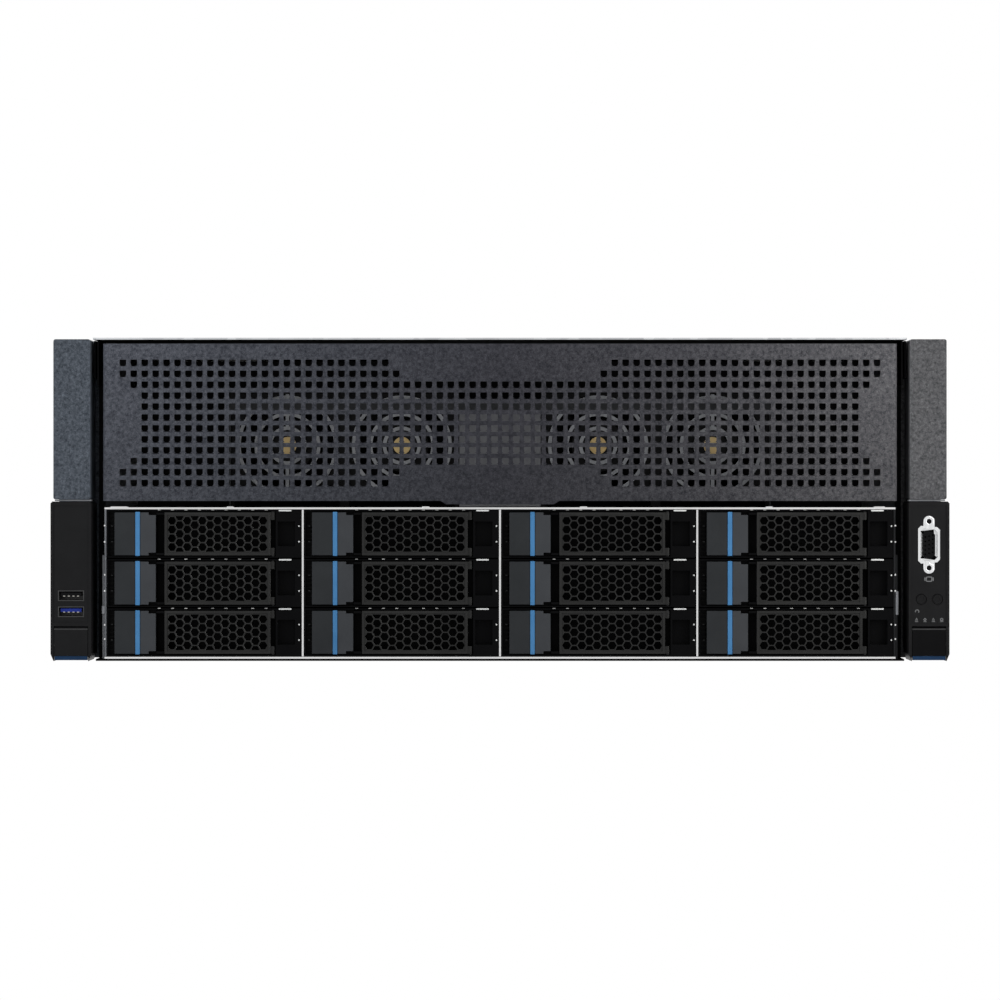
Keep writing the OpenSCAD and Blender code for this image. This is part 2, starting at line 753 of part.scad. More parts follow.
// Push button of the right ear: a cap with a collar behind the face
module ear_button(x) {
    color("black") {
        difference() {
            bar_y(x, knob_z, front_y + 0.1, module_wall + 3, knob_r);
            bar_y(x, knob_z, front_y - 1, 1.4, knob_r - 0.9);
        }
        bar_y(x, knob_z, front_y + module_wall + 0.6, 1.2, knob_r + 0.9);
    }
}

// Latch flap at the ear's foot, on two stubs, with a blue finger tab along its lower edge
module ear_latch(s) {
    x0 = -module_x - flap_w / 2;
    x1 = -module_x + flap_w / 2;
    y = front_y;
    color("black") side(s) {
        block([x0, y, flap_z], [x1, y + flap_t, flap_pivot_z]);
        bar_x(x0, y + flap_r, flap_pivot_z, flap_w, flap_r);
        bar_x(x0 - flap_gap - 0.8, y + flap_r, flap_pivot_z, flap_w + 2 * flap_gap + 1.6, flap_pin_r);
        for (x = [x0, x1 - 1.5])
            block([x, y + flap_t - 0.1, flap_z], [x + 1.5, y + 8, flap_z + 5]);
    }
    color("royalblue") side(s)
        block([x0 + 0.2, y + 0.3, flap_z - 0.1 - tab_h], [x1 - 0.2, y + 4, flap_z - 0.1]);
}

// Fan carriers: four fan frames with guards, side cheeks, a middle post and the top rail
module fan_carriers() {
    rail_x = abs(fan_x[0]) + fan_pitch / 2;
    top = fan_z + fan_w / 2;
    rail_z = fan_z + 22.7;
    color("gray") {
        for (x = fan_x) fan_frame(x);
        for (x = [for (x = fan_x, s = [-1, 1]) x + s * (fan_w / 2 + seat_gap + carrier_wall / 2)])
            block([x - carrier_wall / 2, fan_y - 4, cage_top_z + seat_gap],
                  [x + carrier_wall / 2, fan_y + fan_d + 4, top + 1]);
        block([-post_w / 2 + seat_gap, fan_y - 4, cage_top_z + seat_gap],
              [post_w / 2 - seat_gap, fan_y + fan_d, top - 4]);
        block([-rail_x, fan_y - 10, rail_z - rail_top_h / 2],
              [rail_x, fan_y - 4 - seat_gap, rail_z + rail_top_h / 2]);
        block([-rail_x, fan_y - 10, top + 1 + seat_gap], [rail_x, fan_y + fan_d + 4, top + 2.2]);
        for (s = [-1, 1]) side(s)
            block([-rail_x, fan_y - 10, cage_top_z + seat_gap],
                  [-rail_x + sheet, fan_y - 4 - seat_gap, rail_z - rail_top_h / 2 - seat_gap]);
    }
}

// One fan frame: bored square body, a guard of rings and a cross, and the motor's seat
module fan_frame(x) {
    guard_t = 1.6;
    arm = 2;
    difference() {
        block([x - fan_w / 2, fan_y, fan_z - fan_w / 2], [x + fan_w / 2, fan_y + fan_d, fan_z + fan_w / 2]);
        bar_y(x, fan_z, fan_y - 1, fan_d + 2, fan_bore_r);
        for (sx = [-1, 1], sz = [-1, 1])
            bar_y(x + sx * (fan_w / 2 - 5), fan_z + sz * (fan_w / 2 - 5), fan_y - 1, fan_d + 2, 2.1);
    }
    plate_xz(fan_y - guard_t, guard_t + 0.2) translate([x, fan_z]) {
        for (r = [hub_r - 4, hub_r + 4, fan_bore_r]) difference() {
            circle(r);
            circle(r - arm);
        }
        difference() {
            union() {
                square([arm, fan_w - 1], center = true);
                square([fan_w - 1, arm], center = true);
            }
            circle(hub_r - 5);
        }
    }
    plate_xz(fan_y + fan_d - 4, 4) translate([x, fan_z]) {
        circle(hub_r);
        for (a = [45 : 90 : 315]) rotate(a) translate([0, -1.5]) square([fan_w / 2 + 1, 3]);
    }
}

// Fan rotor: a hub with cambered blades, turning in the frame's bore
module fan_rotor(i) {
    tip_r = fan_bore_r - tip_gap;
    blade_y = fan_y + 3;
    blade_d = fan_d - 11;
    camber_r = blade_d;
    color("goldenrod") bar_y(fan_x[i - 1], fan_z, blade_y - 1, 1, 5);
    color("black") translate([fan_x[i - 1], blade_y, fan_z]) rotate([-90, 0, 0]) intersection() {
        cylinder(r = tip_r, h = blade_d);
        union() {
            cylinder(r = hub_r, h = blade_d);
            for (k = [0 : blade_count - 1]) rotate(k * 360 / blade_count)
                rotate([0, 90, 0]) translate([-blade_d / 2, 0, hub_r - 1])
                    linear_extrude(tip_r) rotate(-38) translate([0, -camber_r]) difference() {
                        circle(camber_r + 0.7);
                        circle(camber_r - 0.7);
                        translate([-2 * camber_r, -2 * camber_r - 4])
                            square([4 * camber_r, 3 * camber_r - 4 + 6]);
                    }
        }
    }
}

// Finned cooler over one processor
module cpu_cooler(x, y, z) {
    w = 78;
    length = 108;
    fin_h = 56;
    fins = 19;
    block([x - w / 2, y, z], [x + w / 2, y + length, z + 7]);
    for (k = [0 : fins - 1])
        block([x - w / 2 + k * (w - 1.2) / (fins - 1), y, z + 6],
              [x - w / 2 + k * (w - 1.2) / (fins - 1) + 1.2, y + length, z + fin_h]);
}

// Mainboard with two processors and their memory, the slot board over the shelf and the rear ports
module mainboard() {
    inner = wall_x - sheet - 3;
    board_top = board_z + board_t;
    cpu_x = 0.49 * inner;
    cpu_y = board_y + 70;
    color("darkgreen") {
        block([-inner, board_y, board_z], [inner, board_y + board_len, board_top]);
        block([-inner, slot_y, slot_board_z], [inner, wall_y - 30, slot_board_z + board_t]);
    }
    color("silver") for (s = [-1, 1]) cpu_cooler(s * cpu_x, cpu_y, board_top + seat_gap);
    color("darkslategray") for (s = [-1, 1], side_of = [-1, 1], k = [0 : 3])
        block([s * cpu_x + side_of * (48 + k * 9.5) - 2.5, cpu_y - 15, board_top + seat_gap],
              [s * cpu_x + side_of * (48 + k * 9.5) + 2.5, cpu_y + 122, board_top + 33]);
    for (k = [0 : card_count - 1])
        color("black") block([card_x0 + k * card_pitch - 3.5, slot_y + 40, slot_board_z + board_t + seat_gap],
                             [card_x0 + k * card_pitch + 3.5, slot_y + 130, slot_board_z + board_t + 6]);
    rear_ports();
}

// Rear port block: three network jacks and a stack of two USB sockets on a small board
module rear_ports() {
    y0 = wall_y - 32;
    color("darkgreen")
        block([io_x + 1, y0, port_board_z], [wall_x - sheet - 7, wall_y - 3, port_board_z + board_t]);
    color("silver") {
        for (k = [0 : 2]) difference() {
            block([io_x + 4 + k * 19, y0 + 6, 7.4], [io_x + 20 + k * 19, wall_y, 21]);
            block([io_x + 6 + k * 19, wall_y - 13, 10], [io_x + 18 + k * 19, wall_y + 1, 18.5]);
        }
        difference() {
            block([io_x + 62, y0 + 6, 7.4], [io_x + 76, wall_y, 22]);
            for (k = [0, 1])
                block([io_x + 62.7, wall_y - 12, 8.4 + k * 7], [io_x + 75.3, wall_y + 1, 13 + k * 7]);
        }
    }
}

// One accelerator card: shroud with end vents, power socket, board edge and slot bracket
module gpu_card(x) {
    y1 = wall_y - 6;
    y0 = y1 - card_len;
    half = card_t / 2;
    rib_pitch = 8.8;
    ribs = floor((card_h - 8) / rib_pitch);
    slot_w = 0.35 * card_pitch;
    slots = floor((card_top - bracket_z - 14) / vent_pitch);
    color("gray") {
        difference() {
            block([x - half, y0, card_z], [x + half, y1, card_top]);
            for (k = [0 : ribs - 1])
                block([x - half + 5, y0 - 1, card_z + 8 + k * rib_pitch],
                      [x + half - 5, y0 + 18, card_z + 13 + k * rib_pitch]);
            block([x - half + 6, y0 + 20, card_top - 2], [x + half - 6, y1 - 60, card_top + 1]);
            block([x - half / 2, y0 + 6, card_top - 9], [x + half / 2, y0 + 16, card_top + 1]);
        }
        block([x - 0.8, y0 + 0.22 * card_len, slot_board_z + board_t + 6.3],
              [x + 0.8, y1 - 0.41 * card_len, card_z + 1]);
    }
    color("silver") plate_xz(wall_y - sheet, sheet) difference() {
        translate([x - card_pitch / 2 + 0.3, bracket_z + 0.3])
            square([card_pitch - 0.6, card_top - bracket_z - 0.6]);
        for (s = [-1, 1], k = [0 : slots - 1])
            translate([x + s * 0.21 * card_pitch - slot_w / 2, bracket_z + 10 + k * vent_pitch])
                square([slot_w, 3.4]);
    }
}

module gpu_cards() {
    for (k = [0 : card_count - 1]) gpu_card(card_x0 + k * card_pitch);
}

// Power supply: can with a bored fan inlet, mains inlet, folded handle and release tab
module power_supply(i) {
    x = psu_x[i - 1];
    z0 = psu_z;
    z1 = psu_z + psu_h;
    y0 = wall_y + 1 - psu_len;
    y1 = wall_y + 1;
    fan_r = 0.23 * psu_w;
    fan_cx = x - psu_w / 2 + fan_r + 4;
    inlet_w = 26;
    inlet_h = 19;
    inlet_d = 20;
    inlet_x = x + psu_w / 2 - inlet_w - 4.75;
    handle_w = 5;
    color("silver") {
        difference() {
            block([x - psu_w / 2, y0, z0], [x + psu_w / 2, y1, z1]);
            plate_xz(y1 - 5, 6) translate([fan_cx, (z0 + z1) / 2]) difference() {
                circle(fan_r);
                for (r = [5, 9, 13]) difference() {
                    circle(r + 0.7);
                    circle(r - 0.7);
                }
                circle(3);
                for (a = [0 : 60 : 300]) rotate(a) translate([0, -0.6]) square([fan_r + 1, 1.2]);
            }
            block([inlet_x, y1 - inlet_d, z0 + 6], [inlet_x + inlet_w, y1 + 1, z0 + 6 + inlet_h]);
        }
        for (k = [-1 : 1])
            block([inlet_x + inlet_w / 2 + k * 7 - 1, y1 - inlet_d - 0.1, z0 + 13],
                  [inlet_x + inlet_w / 2 + k * 7 + 1, y1 - 5, z0 + 18]);
    }
    color("black") difference() {
        block([x + 1, y1 + 0.2, z0 + 2], [x + 1 + handle_w, back_y, z1 - 2]);
        block([x, y1 + 4, z0 + 6], [x + 2 + handle_w, back_y - 4, z1 - 6]);
    }
    color("green")
        block([inlet_x + inlet_w - 10, y1 + 0.2, z1 - 12], [inlet_x + inlet_w, y1 + 8, z1 - 6]);
}

chassis_base();
top_cover();
front_panel();
drive_cage();
drive_backplane();
rack_ear(-1);  // rack_ear_left
rack_ear(1);  // rack_ear_right
usb_module_left();
vga_module_right();
ear_latch(-1);  // ear_latch_left
ear_latch(1);  // ear_latch_right
ear_button(knob_x[0]);  // power_button
ear_button(knob_x[1]);  // locator_button
fan_carriers();
mainboard();
gpu_cards();
for (i = [1 : fan_count])
    fan_rotor(i);
for (i = [1 : psu_count])
    power_supply(i);
for (i = tray_ids) {
    drive_tray(i);
    tray_lever(i);
    tray_button(i);
}
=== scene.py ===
# %% [markdown]
# # A rack server, dressed for its picture
# The object is a 4U rack server: a perforated intake panel over three rows of hot-swap drive
# trays, between two rack ears. Its solids come ready made and carry every size. What is left
# for this file is what a painter and a lighting studio would add: metals and plastics
# with their real grain, softened edges that catch the light, small fasteners and lamps, and a
# studio. The cells go from the camera to the finishes, and then piece by piece over the server.

# %% Load the model
import math

import bmesh
import bpy
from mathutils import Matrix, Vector


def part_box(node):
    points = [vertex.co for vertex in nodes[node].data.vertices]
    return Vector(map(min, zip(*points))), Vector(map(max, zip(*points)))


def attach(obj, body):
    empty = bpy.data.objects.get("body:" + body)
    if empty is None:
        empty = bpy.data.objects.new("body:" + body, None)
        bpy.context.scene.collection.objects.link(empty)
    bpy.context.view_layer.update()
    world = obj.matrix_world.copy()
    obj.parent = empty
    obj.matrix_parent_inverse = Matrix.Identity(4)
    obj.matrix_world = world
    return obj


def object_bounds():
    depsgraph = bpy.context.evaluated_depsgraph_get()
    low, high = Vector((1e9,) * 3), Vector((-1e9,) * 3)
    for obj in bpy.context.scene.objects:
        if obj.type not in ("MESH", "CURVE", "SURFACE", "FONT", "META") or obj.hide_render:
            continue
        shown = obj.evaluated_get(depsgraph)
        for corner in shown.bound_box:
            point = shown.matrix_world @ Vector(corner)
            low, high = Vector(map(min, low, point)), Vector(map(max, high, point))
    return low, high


mm = 0.001

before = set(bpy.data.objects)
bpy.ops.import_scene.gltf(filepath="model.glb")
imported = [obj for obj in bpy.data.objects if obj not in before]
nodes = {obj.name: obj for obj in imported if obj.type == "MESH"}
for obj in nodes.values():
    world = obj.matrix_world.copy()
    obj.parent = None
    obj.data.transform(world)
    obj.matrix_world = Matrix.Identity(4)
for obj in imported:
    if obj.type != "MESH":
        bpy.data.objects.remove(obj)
scene = bpy.context.scene
cad_low, cad_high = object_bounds()
print("overall size in metres:", [round(v, 4) for v in cad_high - cad_low])

# %% [markdown]
# ## Camera
# A catalogue picture of a rack server is taken square on, from far away, so that the ears and
# the bays stay parallel. An orthographic camera would do that too, but it would also hide the
# inner walls of the grille cells near the ends. A long lens two metres away keeps them.

# %% Camera
front_y = cad_low.y
camera_gap = 2.1
view_width = 0.5368
camera_height = 0.0867

camera_data = bpy.data.cameras.new("camera")
camera_data.sensor_width = 36
camera_data.lens = camera_data.sensor_width * camera_gap / view_width
camera = bpy.data.objects.new("camera", camera_data)
camera.location = (0, front_y - camera_gap, camera_height)
camera.rotation_euler = (math.radians(90), 0, 0)
scene.collection.objects.link(camera)
scene.camera = camera
scene.view_settings.view_transform = "Standard"
print("lens in millimetres:", round(camera_data.lens, 1))

# %% [markdown]
# ## Studio
# The backdrop is white for the camera and for reflections, so that bare metal shows a white
# room. Its light on the object is weaker than that. Two soft boxes stand in front of the ends
# of the server, and the right one is the stronger. A faint lamp right behind the intake panel
# stands for the light that many bounces carry in to the fans.

# %% World and floor
world = bpy.data.worlds.new("studio")
scene.world = world
world.use_nodes = True


def tree_of(owner):
    """An emptied node tree of a material or a world."""
    owner.use_nodes = True
    owner.node_tree.nodes.clear()
    return owner.node_tree


def add_node(tree, kind, **values):
    """A node whose sockets and settings are given by name."""
    node = tree.nodes.new(kind)
    for name, value in values.items():
        label = name.replace("_", " ")
        if label in node.inputs:
            node.inputs[label].default_value = value
        else:
            setattr(node, name, value)
    return node


def any_of(tree, path, *names):
    """1 where the ray is any of the named kinds."""
    total = path.outputs[names[0]]
    for name in names[1:]:
        larger = add_node(tree, "ShaderNodeMath", operation="MAXIMUM")
        tree.links.new(total, larger.inputs[0])
        tree.links.new(path.outputs[name], larger.inputs[1])
        total = larger.outputs[0]
    return total


def sees_backdrop(tree):
    """1 for the rays that should find a white backdrop."""
    path = add_node(tree, "ShaderNodeLightPath")
    return any_of(tree, path, "Is Camera Ray", "Is Glossy Ray", "Is Transmission Ray")


def white_for_the_eye(tree, light, output_kind):
    """Backdrop: white to the camera and in reflections, and `light` bright otherwise."""
    seen = sees_backdrop(tree)
    strength = add_node(tree, "ShaderNodeMapRange")
    strength.inputs["To Min"].default_value = light
    strength.inputs["To Max"].default_value = 1.0
    glow = add_node(tree, "ShaderNodeBackground", Color=(1, 1, 1, 1))
    output = add_node(tree, output_kind)
    tree.links.new(seen, strength.inputs["Value"])
    tree.links.new(strength.outputs["Result"], glow.inputs["Strength"])
    tree.links.new(glow.outputs["Background"], output.inputs["Surface"])


room_light = 0.24
white_for_the_eye(tree_of(world), room_light, "ShaderNodeOutputWorld")

floor_reach, floor_drop = 4.0, 0.2 * mm
floor_mesh = bpy.data.meshes.new("floor")
corners = [(x * floor_reach, y * floor_reach, 0) for x, y in ((-1, -1), (1, -1), (1, 1), (-1, 1))]
floor_mesh.from_pydata(corners, [], [(0, 1, 2, 3)])
floor = bpy.data.objects.new("floor", floor_mesh)
floor.location.z = cad_low.z - floor_drop
scene.collection.objects.link(floor)

floor_paint = bpy.data.materials.new("floor_paint")
floor_tree = tree_of(floor_paint)
floor_glow = add_node(floor_tree, "ShaderNodeEmission", Color=(1, 1, 1, 1), Strength=1.0)
floor_matt = add_node(floor_tree, "ShaderNodeBsdfDiffuse", Color=(0.8, 0.8, 0.8, 1))
floor_mix = add_node(floor_tree, "ShaderNodeMixShader")
floor_out = add_node(floor_tree, "ShaderNodeOutputMaterial")
floor_tree.links.new(sees_backdrop(floor_tree), floor_mix.inputs[0])
floor_tree.links.new(floor_matt.outputs[0], floor_mix.inputs[1])
floor_tree.links.new(floor_glow.outputs[0], floor_mix.inputs[2])
floor_tree.links.new(floor_mix.outputs[0], floor_out.inputs["Surface"])
floor_mesh.materials.append(floor_paint)


# %% Lamps
def soft_box(name, place, target, width, height, watts, tint=(1, 1, 1)):
    """A rectangular area lamp that faces its target."""
    data = bpy.data.lights.new(name, "AREA")
    data.shape = "RECTANGLE"
    data.size, data.size_y, data.energy, data.color = width, height, watts, tint
    lamp = bpy.data.objects.new(name, data)
    lamp.location = place
    lamp.rotation_euler = (Vector(target) - Vector(place)).to_track_quat("-Z", "Y").to_euler()
    scene.collection.objects.link(lamp)
    return lamp


middle_z = (cad_low.z + cad_high.z) / 2
fans_z = 0.128
for name, side, watts, tint in (("left_box", -1, 2.4, (0.93, 0.96, 1.0)),
                                ("right_box", 1, 3.4, (1.0, 0.99, 0.98))):
    soft_box(name, (side * 0.62, front_y - 0.42, 0.32), (side * 0.2, front_y, middle_z),
             width=0.35, height=0.6, watts=watts, tint=tint)
soft_box("top_box", (0, 0.1, 1.9), (0, 0, 0), width=1.6, height=1.6, watts=11)
soft_box("rear_box", (0.5, 1.7, 0.9), (0, 0.35, 0.1), width=1.0, height=1.0, watts=8)
soft_box("inner_box", (0, front_y + 0.03, fans_z), (0, 0, fans_z), width=0.4, height=0.07, watts=0.1)

# %% [markdown]
# ## Shared surface effects
# Four effects come back in most of the finishes, so each is a node group with its own sockets.
# Cloudy mottling breaks up a flat colour. Fine grain is the texture of powder paint and of
# moulded plastic. Brushing is the grain that rolling leaves on sheet steel. Spangle is the
# crystal pattern of galvanised sheet. All of them work from the server's own coordinates, so
# a pattern stays on its piece when the piece moves.


# %% Node groups
def new_group(name, inputs, outputs):
    """An empty shader node group with the named sockets, each with its type and default."""
    group = bpy.data.node_groups.new(name, "ShaderNodeTree")
    for label, kind, default in inputs:
        socket = group.interface.new_socket(name=label, in_out="INPUT", socket_type=kind)
        socket.default_value = default
    for label, kind in outputs:
        group.interface.new_socket(name=label, in_out="OUTPUT", socket_type=kind)
    entry = group.nodes.new("NodeGroupInput")
    leave = group.nodes.new("NodeGroupOutput")
    return group, entry, leave


def make_mottle():
    """Cloudy colour: mixes two colours by a broad and a middling noise."""
    group, entry, leave = new_group(
        "mottle",
        [("Dark", "NodeSocketColor", (0, 0, 0, 1)), ("Light", "NodeSocketColor", (1, 1, 1, 1)),
         ("Scale", "NodeSocketFloat", 60.0), ("Contrast", "NodeSocketFloat", 1.0)],
        [("Color", "NodeSocketColor"), ("Mask", "NodeSocketFloat")],
    )
    place = add_node(group, "ShaderNodeTexCoord")
    cloud = add_node(group, "ShaderNodeTexNoise", Detail=5.0, Roughness=0.62)
    stretch = add_node(group, "ShaderNodeMath", operation="SUBTRACT")
    stretch.inputs[1].default_value = 0.5
    gain = add_node(group, "ShaderNodeMath", operation="MULTIPLY_ADD", use_clamp=True)
    gain.inputs[2].default_value = 0.5
    blend = add_node(group, "ShaderNodeMix", data_type="RGBA")
    link = group.links.new
    link(place.outputs["Object"], cloud.inputs["Vector"])
    link(entry.outputs["Scale"], cloud.inputs["Scale"])
    link(cloud.outputs["Fac"], stretch.inputs[0])
    link(stretch.outputs[0], gain.inputs[0])
    link(entry.outputs["Contrast"], gain.inputs[1])
    link(gain.outputs[0], blend.inputs["Factor"])
    link(entry.outputs["Dark"], blend.inputs[6])
    link(entry.outputs["Light"], blend.inputs[7])
    link(blend.outputs[2], leave.inputs["Color"])
    link(gain.outputs[0], leave.inputs["Mask"])
    return group


def make_grain():
    """Fine pebbled height, for powder paint and moulded plastic."""
    group, entry, leave = new_group(
        "grain", [("Scale", "NodeSocketFloat", 900.0), ("Spread", "NodeSocketFloat", 1.0)],
        [("Height", "NodeSocketFloat"), ("Specks", "NodeSocketFloat")],
    )
    place = add_node(group, "ShaderNodeTexCoord")
    pebble = add_node(group, "ShaderNodeTexNoise", Detail=2.0, Roughness=0.5)
    double = add_node(group, "ShaderNodeMath", operation="MULTIPLY")
    double.inputs[1].default_value = 2.3
    dots = add_node(group, "ShaderNodeTexNoise", Detail=1.0)
    specks = add_node(group, "ShaderNodeMapRange")
    specks.inputs["From Min"].default_value = 0.52
    specks.inputs["From Max"].default_value = 0.72
    power = add_node(group, "ShaderNodeMath", operation="POWER")
    link = group.links.new
    link(place.outputs["Object"], pebble.inputs["Vector"])
    link(entry.outputs["Scale"], pebble.inputs["Scale"])
    link(place.outputs["Object"], dots.inputs["Vector"])
    link(entry.outputs["Scale"], double.inputs[0])
    link(double.outputs[0], dots.inputs["Scale"])
    link(dots.outputs["Fac"], specks.inputs["Value"])
    link(pebble.outputs["Fac"], power.inputs[0])
    link(entry.outputs["Spread"], power.inputs[1])
    link(power.outputs[0], leave.inputs["Height"])
    link(specks.outputs["Result"], leave.inputs["Specks"])
    return group


def make_brushing():
    """Long streaks along one axis, for rolled and brushed metal."""
    group, entry, leave = new_group(
        "brushing", [("Along", "NodeSocketVector", (4.0, 900.0, 900.0))],
        [("Streak", "NodeSocketFloat")],
    )
    place = add_node(group, "ShaderNodeTexCoord")
    squeeze = add_node(group, "ShaderNodeVectorMath", operation="MULTIPLY")
    streak = add_node(group, "ShaderNodeTexNoise", Scale=1.0, Detail=3.0)
    link = group.links.new
    link(place.outputs["Object"], squeeze.inputs[0])
    link(entry.outputs["Along"], squeeze.inputs[1])
    link(squeeze.outputs[0], streak.inputs["Vector"])
    link(streak.outputs["Fac"], leave.inputs["Streak"])
    return group


def make_spangle():
    """Flat crystals of a zinc coat, each with its own shade."""
    group, entry, leave = new_group(
        "spangle", [("Scale", "NodeSocketFloat", 160.0)], [("Shade", "NodeSocketFloat")],
    )
    place = add_node(group, "ShaderNodeTexCoord")
    crystal = add_node(group, "ShaderNodeTexVoronoi")
    shade = add_node(group, "ShaderNodeSeparateColor")
    link = group.links.new
    link(place.outputs["Object"], crystal.inputs["Vector"])
    link(entry.outputs["Scale"], crystal.inputs["Scale"])
    link(crystal.outputs["Color"], shade.inputs["Color"])
    link(shade.outputs["Red"], leave.inputs["Shade"])
    return group


mottle = make_mottle()
grain = make_grain()
brushing = make_brushing()
spangle = make_spangle()
print("effects:", mottle.name, grain.name, brushing.name, spangle.name)


# %% Colour and material helpers
def shade(red, green, blue):
    """A colour written in display values from 0 to 255, as the shader wants it."""
    def linear(v):
        v /= 255
        return v / 12.92 if v <= 0.04045 else ((v + 0.055) / 1.055) ** 2.4
    return (linear(red), linear(green), linear(blue), 1)


def place_group(tree, group, **values):
    """One use of a node group, with its own values."""
    node = add_node(tree, "ShaderNodeGroup")
    node.node_tree = group
    for name, value in values.items():
        node.inputs[name].default_value = value
    return node


def begin(name, **shader):
    """A material with a Principled shader, whose constants are given by name."""
    material = bpy.data.materials.new(name)
    tree = tree_of(material)
    body = add_node(tree, "ShaderNodeBsdfPrincipled")
    for label, value in shader.items():
        body.inputs[label.replace("_", " ")].default_value = value
    output = add_node(tree, "ShaderNodeOutputMaterial")
    tree.links.new(body.outputs["BSDF"], output.inputs["Surface"])
    material.diffuse_color = shader.get("Base_Color", (0.5, 0.5, 0.5, 1))
    return material, tree, body


def bump(tree, body, height, strength, depth):
    """Feeds a height into the shader's normal."""
    relief = add_node(tree, "ShaderNodeBump")
    relief.inputs["Strength"].default_value = strength
    relief.inputs["Distance"].default_value = depth
    tree.links.new(height, relief.inputs["Height"])
    tree.links.new(relief.outputs["Normal"], body.inputs["Normal"])


def spread(tree, value, low, high):
    """Maps 0 to 1 onto low to high."""
    node = add_node(tree, "ShaderNodeMapRange")
    node.inputs["To Min"].default_value = low
    node.inputs["To Max"].default_value = high
    tree.links.new(value, node.inputs["Value"])
    return node.outputs["Result"]


# %% [markdown]
# ## Powder paint
# The panel and the ears are steel under a slate-grey powder coat. Up close it is pebbled, with
# tiny light specks where a pebble's top catches the light, and its colour is slightly cloudy.
# The tone across the panel and between the two ears is painted light and shade: a painted sheen
# that is lighter towards the ends and the right, and painted shade in the middle and at the foot.


# %% Powder paint
def powder_paint(name, dark, light, speck, cloud=620.0, sheen_factors=None, foot_shade=1.0):
    """Textured powder coat; `sheen_factors` are (x, colour factor) pairs of a painted sheen and shade
    across X.
    """
    material, tree, body = begin(name, Base_Color=light, Specular_IOR_Level=0.12)
    clouds = place_group(tree, mottle, Dark=dark, Light=light, Scale=cloud, Contrast=2.6)
    pebbles = place_group(tree, grain, Scale=760.0, Spread=1.0)
    specked = add_node(tree, "ShaderNodeMix", data_type="RGBA", blend_type="ADD")
    specked.inputs[7].default_value = speck
    tree.links.new(pebbles.outputs["Specks"], specked.inputs["Factor"])
    tree.links.new(clouds.outputs["Color"], specked.inputs[6])
    color = specked.outputs[2]
    if sheen_factors:
        color = painted_sheen(tree, color, sheen_factors, foot_shade)
    tree.links.new(color, body.inputs["Base Color"])
    tree.links.new(spread(tree, clouds.outputs["Mask"], 0.5, 0.66), body.inputs["Roughness"])
    bump(tree, body, pebbles.outputs["Height"], 0.3, 0.00015)
    return material


def painted_sheen(tree, color, sheen_factors, foot_shade, foot=0.09, head=0.165):
    """Painted sheen and shade: multiplies a colour by a ramp across X, and by `foot_shade` at the
    panel's foot.
    """
    place = add_node(tree, "ShaderNodeTexCoord")
    axes = add_node(tree, "ShaderNodeSeparateXYZ")
    tree.links.new(place.outputs["Object"], axes.inputs["Vector"])
    first, last = sheen_factors[0][0], sheen_factors[-1][0]
    across = add_node(tree, "ShaderNodeMapRange")
    across.inputs["From Min"].default_value, across.inputs["From Max"].default_value = first, last
    tree.links.new(axes.outputs["X"], across.inputs["Value"])
    ramp = add_node(tree, "ShaderNodeValToRGB")
    while len(ramp.color_ramp.elements) < len(sheen_factors):
        ramp.color_ramp.elements.new(0.5)
    for element, (x, factor) in zip(ramp.color_ramp.elements, sheen_factors):
        element.position = (x - first) / (last - first)
        element.color = (*factor, 1)
    tree.links.new(across.outputs["Result"], ramp.inputs["Fac"])
    upward = add_node(tree, "ShaderNodeMapRange")
    for label, value in (("From Min", foot), ("From Max", head), ("To Min", foot_shade), ("To Max", 1.0)):
        upward.inputs[label].default_value = value
    tree.links.new(axes.outputs["Z"], upward.inputs["Value"])
    toned = add_node(tree, "ShaderNodeMix", data_type="RGBA", blend_type="MULTIPLY")
    toned.inputs["Factor"].default_value = 1.0
    tree.links.new(color, toned.inputs[6])
    tree.links.new(ramp.outputs["Color"], toned.inputs[7])
    dimmed = add_node(tree, "ShaderNodeVectorMath", operation="SCALE")
    tree.links.new(toned.outputs[2], dimmed.inputs[0])
    tree.links.new(upward.outputs["Result"], dimmed.inputs["Scale"])
    return dimmed.outputs[0]


slate = shade(46, 48, 54), shade(98, 99, 104), shade(62, 62, 66)
# The two ears share one coat, painted as a darker, bluer copy on the left and a lighter one on the
# right: painted shade and painted light of the two sides.
shaded_left_slate = shade(41, 46, 53), shade(88, 94, 102), shade(57, 60, 64)
lit_right_slate = shade(50, 51, 53), shade(100, 100, 102), shade(61, 61, 63)
ear_paint_left = powder_paint("ear_paint_left", *shaded_left_slate)
ear_paint_right = powder_paint("ear_paint_right", *lit_right_slate)
# Painted sheen and shade: the panel's tone is painted lighter towards its ends, most to the right, and
# darker in the middle and towards its foot.
panel_sheen_factors = [
    (-0.21, (0.86, 0.89, 0.94)),
    (-0.12, (0.66, 0.68, 0.72)),
    (0.0, (0.44, 0.43, 0.46)),
    (0.1, (0.66, 0.64, 0.64)),
    (0.21, (1.14, 1.1, 1.04)),
]
panel_paint = powder_paint("panel_paint", *slate, sheen_factors=panel_sheen_factors, foot_shade=0.76)

# %% [markdown]
# ## Moulded plastic
# The ears' lower halves, the trays and the levers are black or dark grey nylon. A mould gives
# them a fine even grain and a soft sheen. The button is a lighter grey to the right of its
# blue strip, so it takes two plastics.


# %% Moulded plastic
def moulded(name, dark, light, rough=0.45, pebble=0.2, scale=1500.0, sheen=0.1):
    """Cloudy plastic with a pebbled skin."""
    material, tree, body = begin(name, Base_Color=light, Specular_IOR_Level=sheen)
    clouds = place_group(tree, mottle, Dark=dark, Light=light, Scale=55.0, Contrast=1.6)
    pebbles = place_group(tree, grain, Scale=scale, Spread=1.0)
    tree.links.new(clouds.outputs["Color"], body.inputs["Base Color"])
    skin = spread(tree, clouds.outputs["Mask"], rough - 0.05, rough + 0.05)
    tree.links.new(skin, body.inputs["Roughness"])
    bump(tree, body, pebbles.outputs["Height"], pebble, 0.00006)
    return material


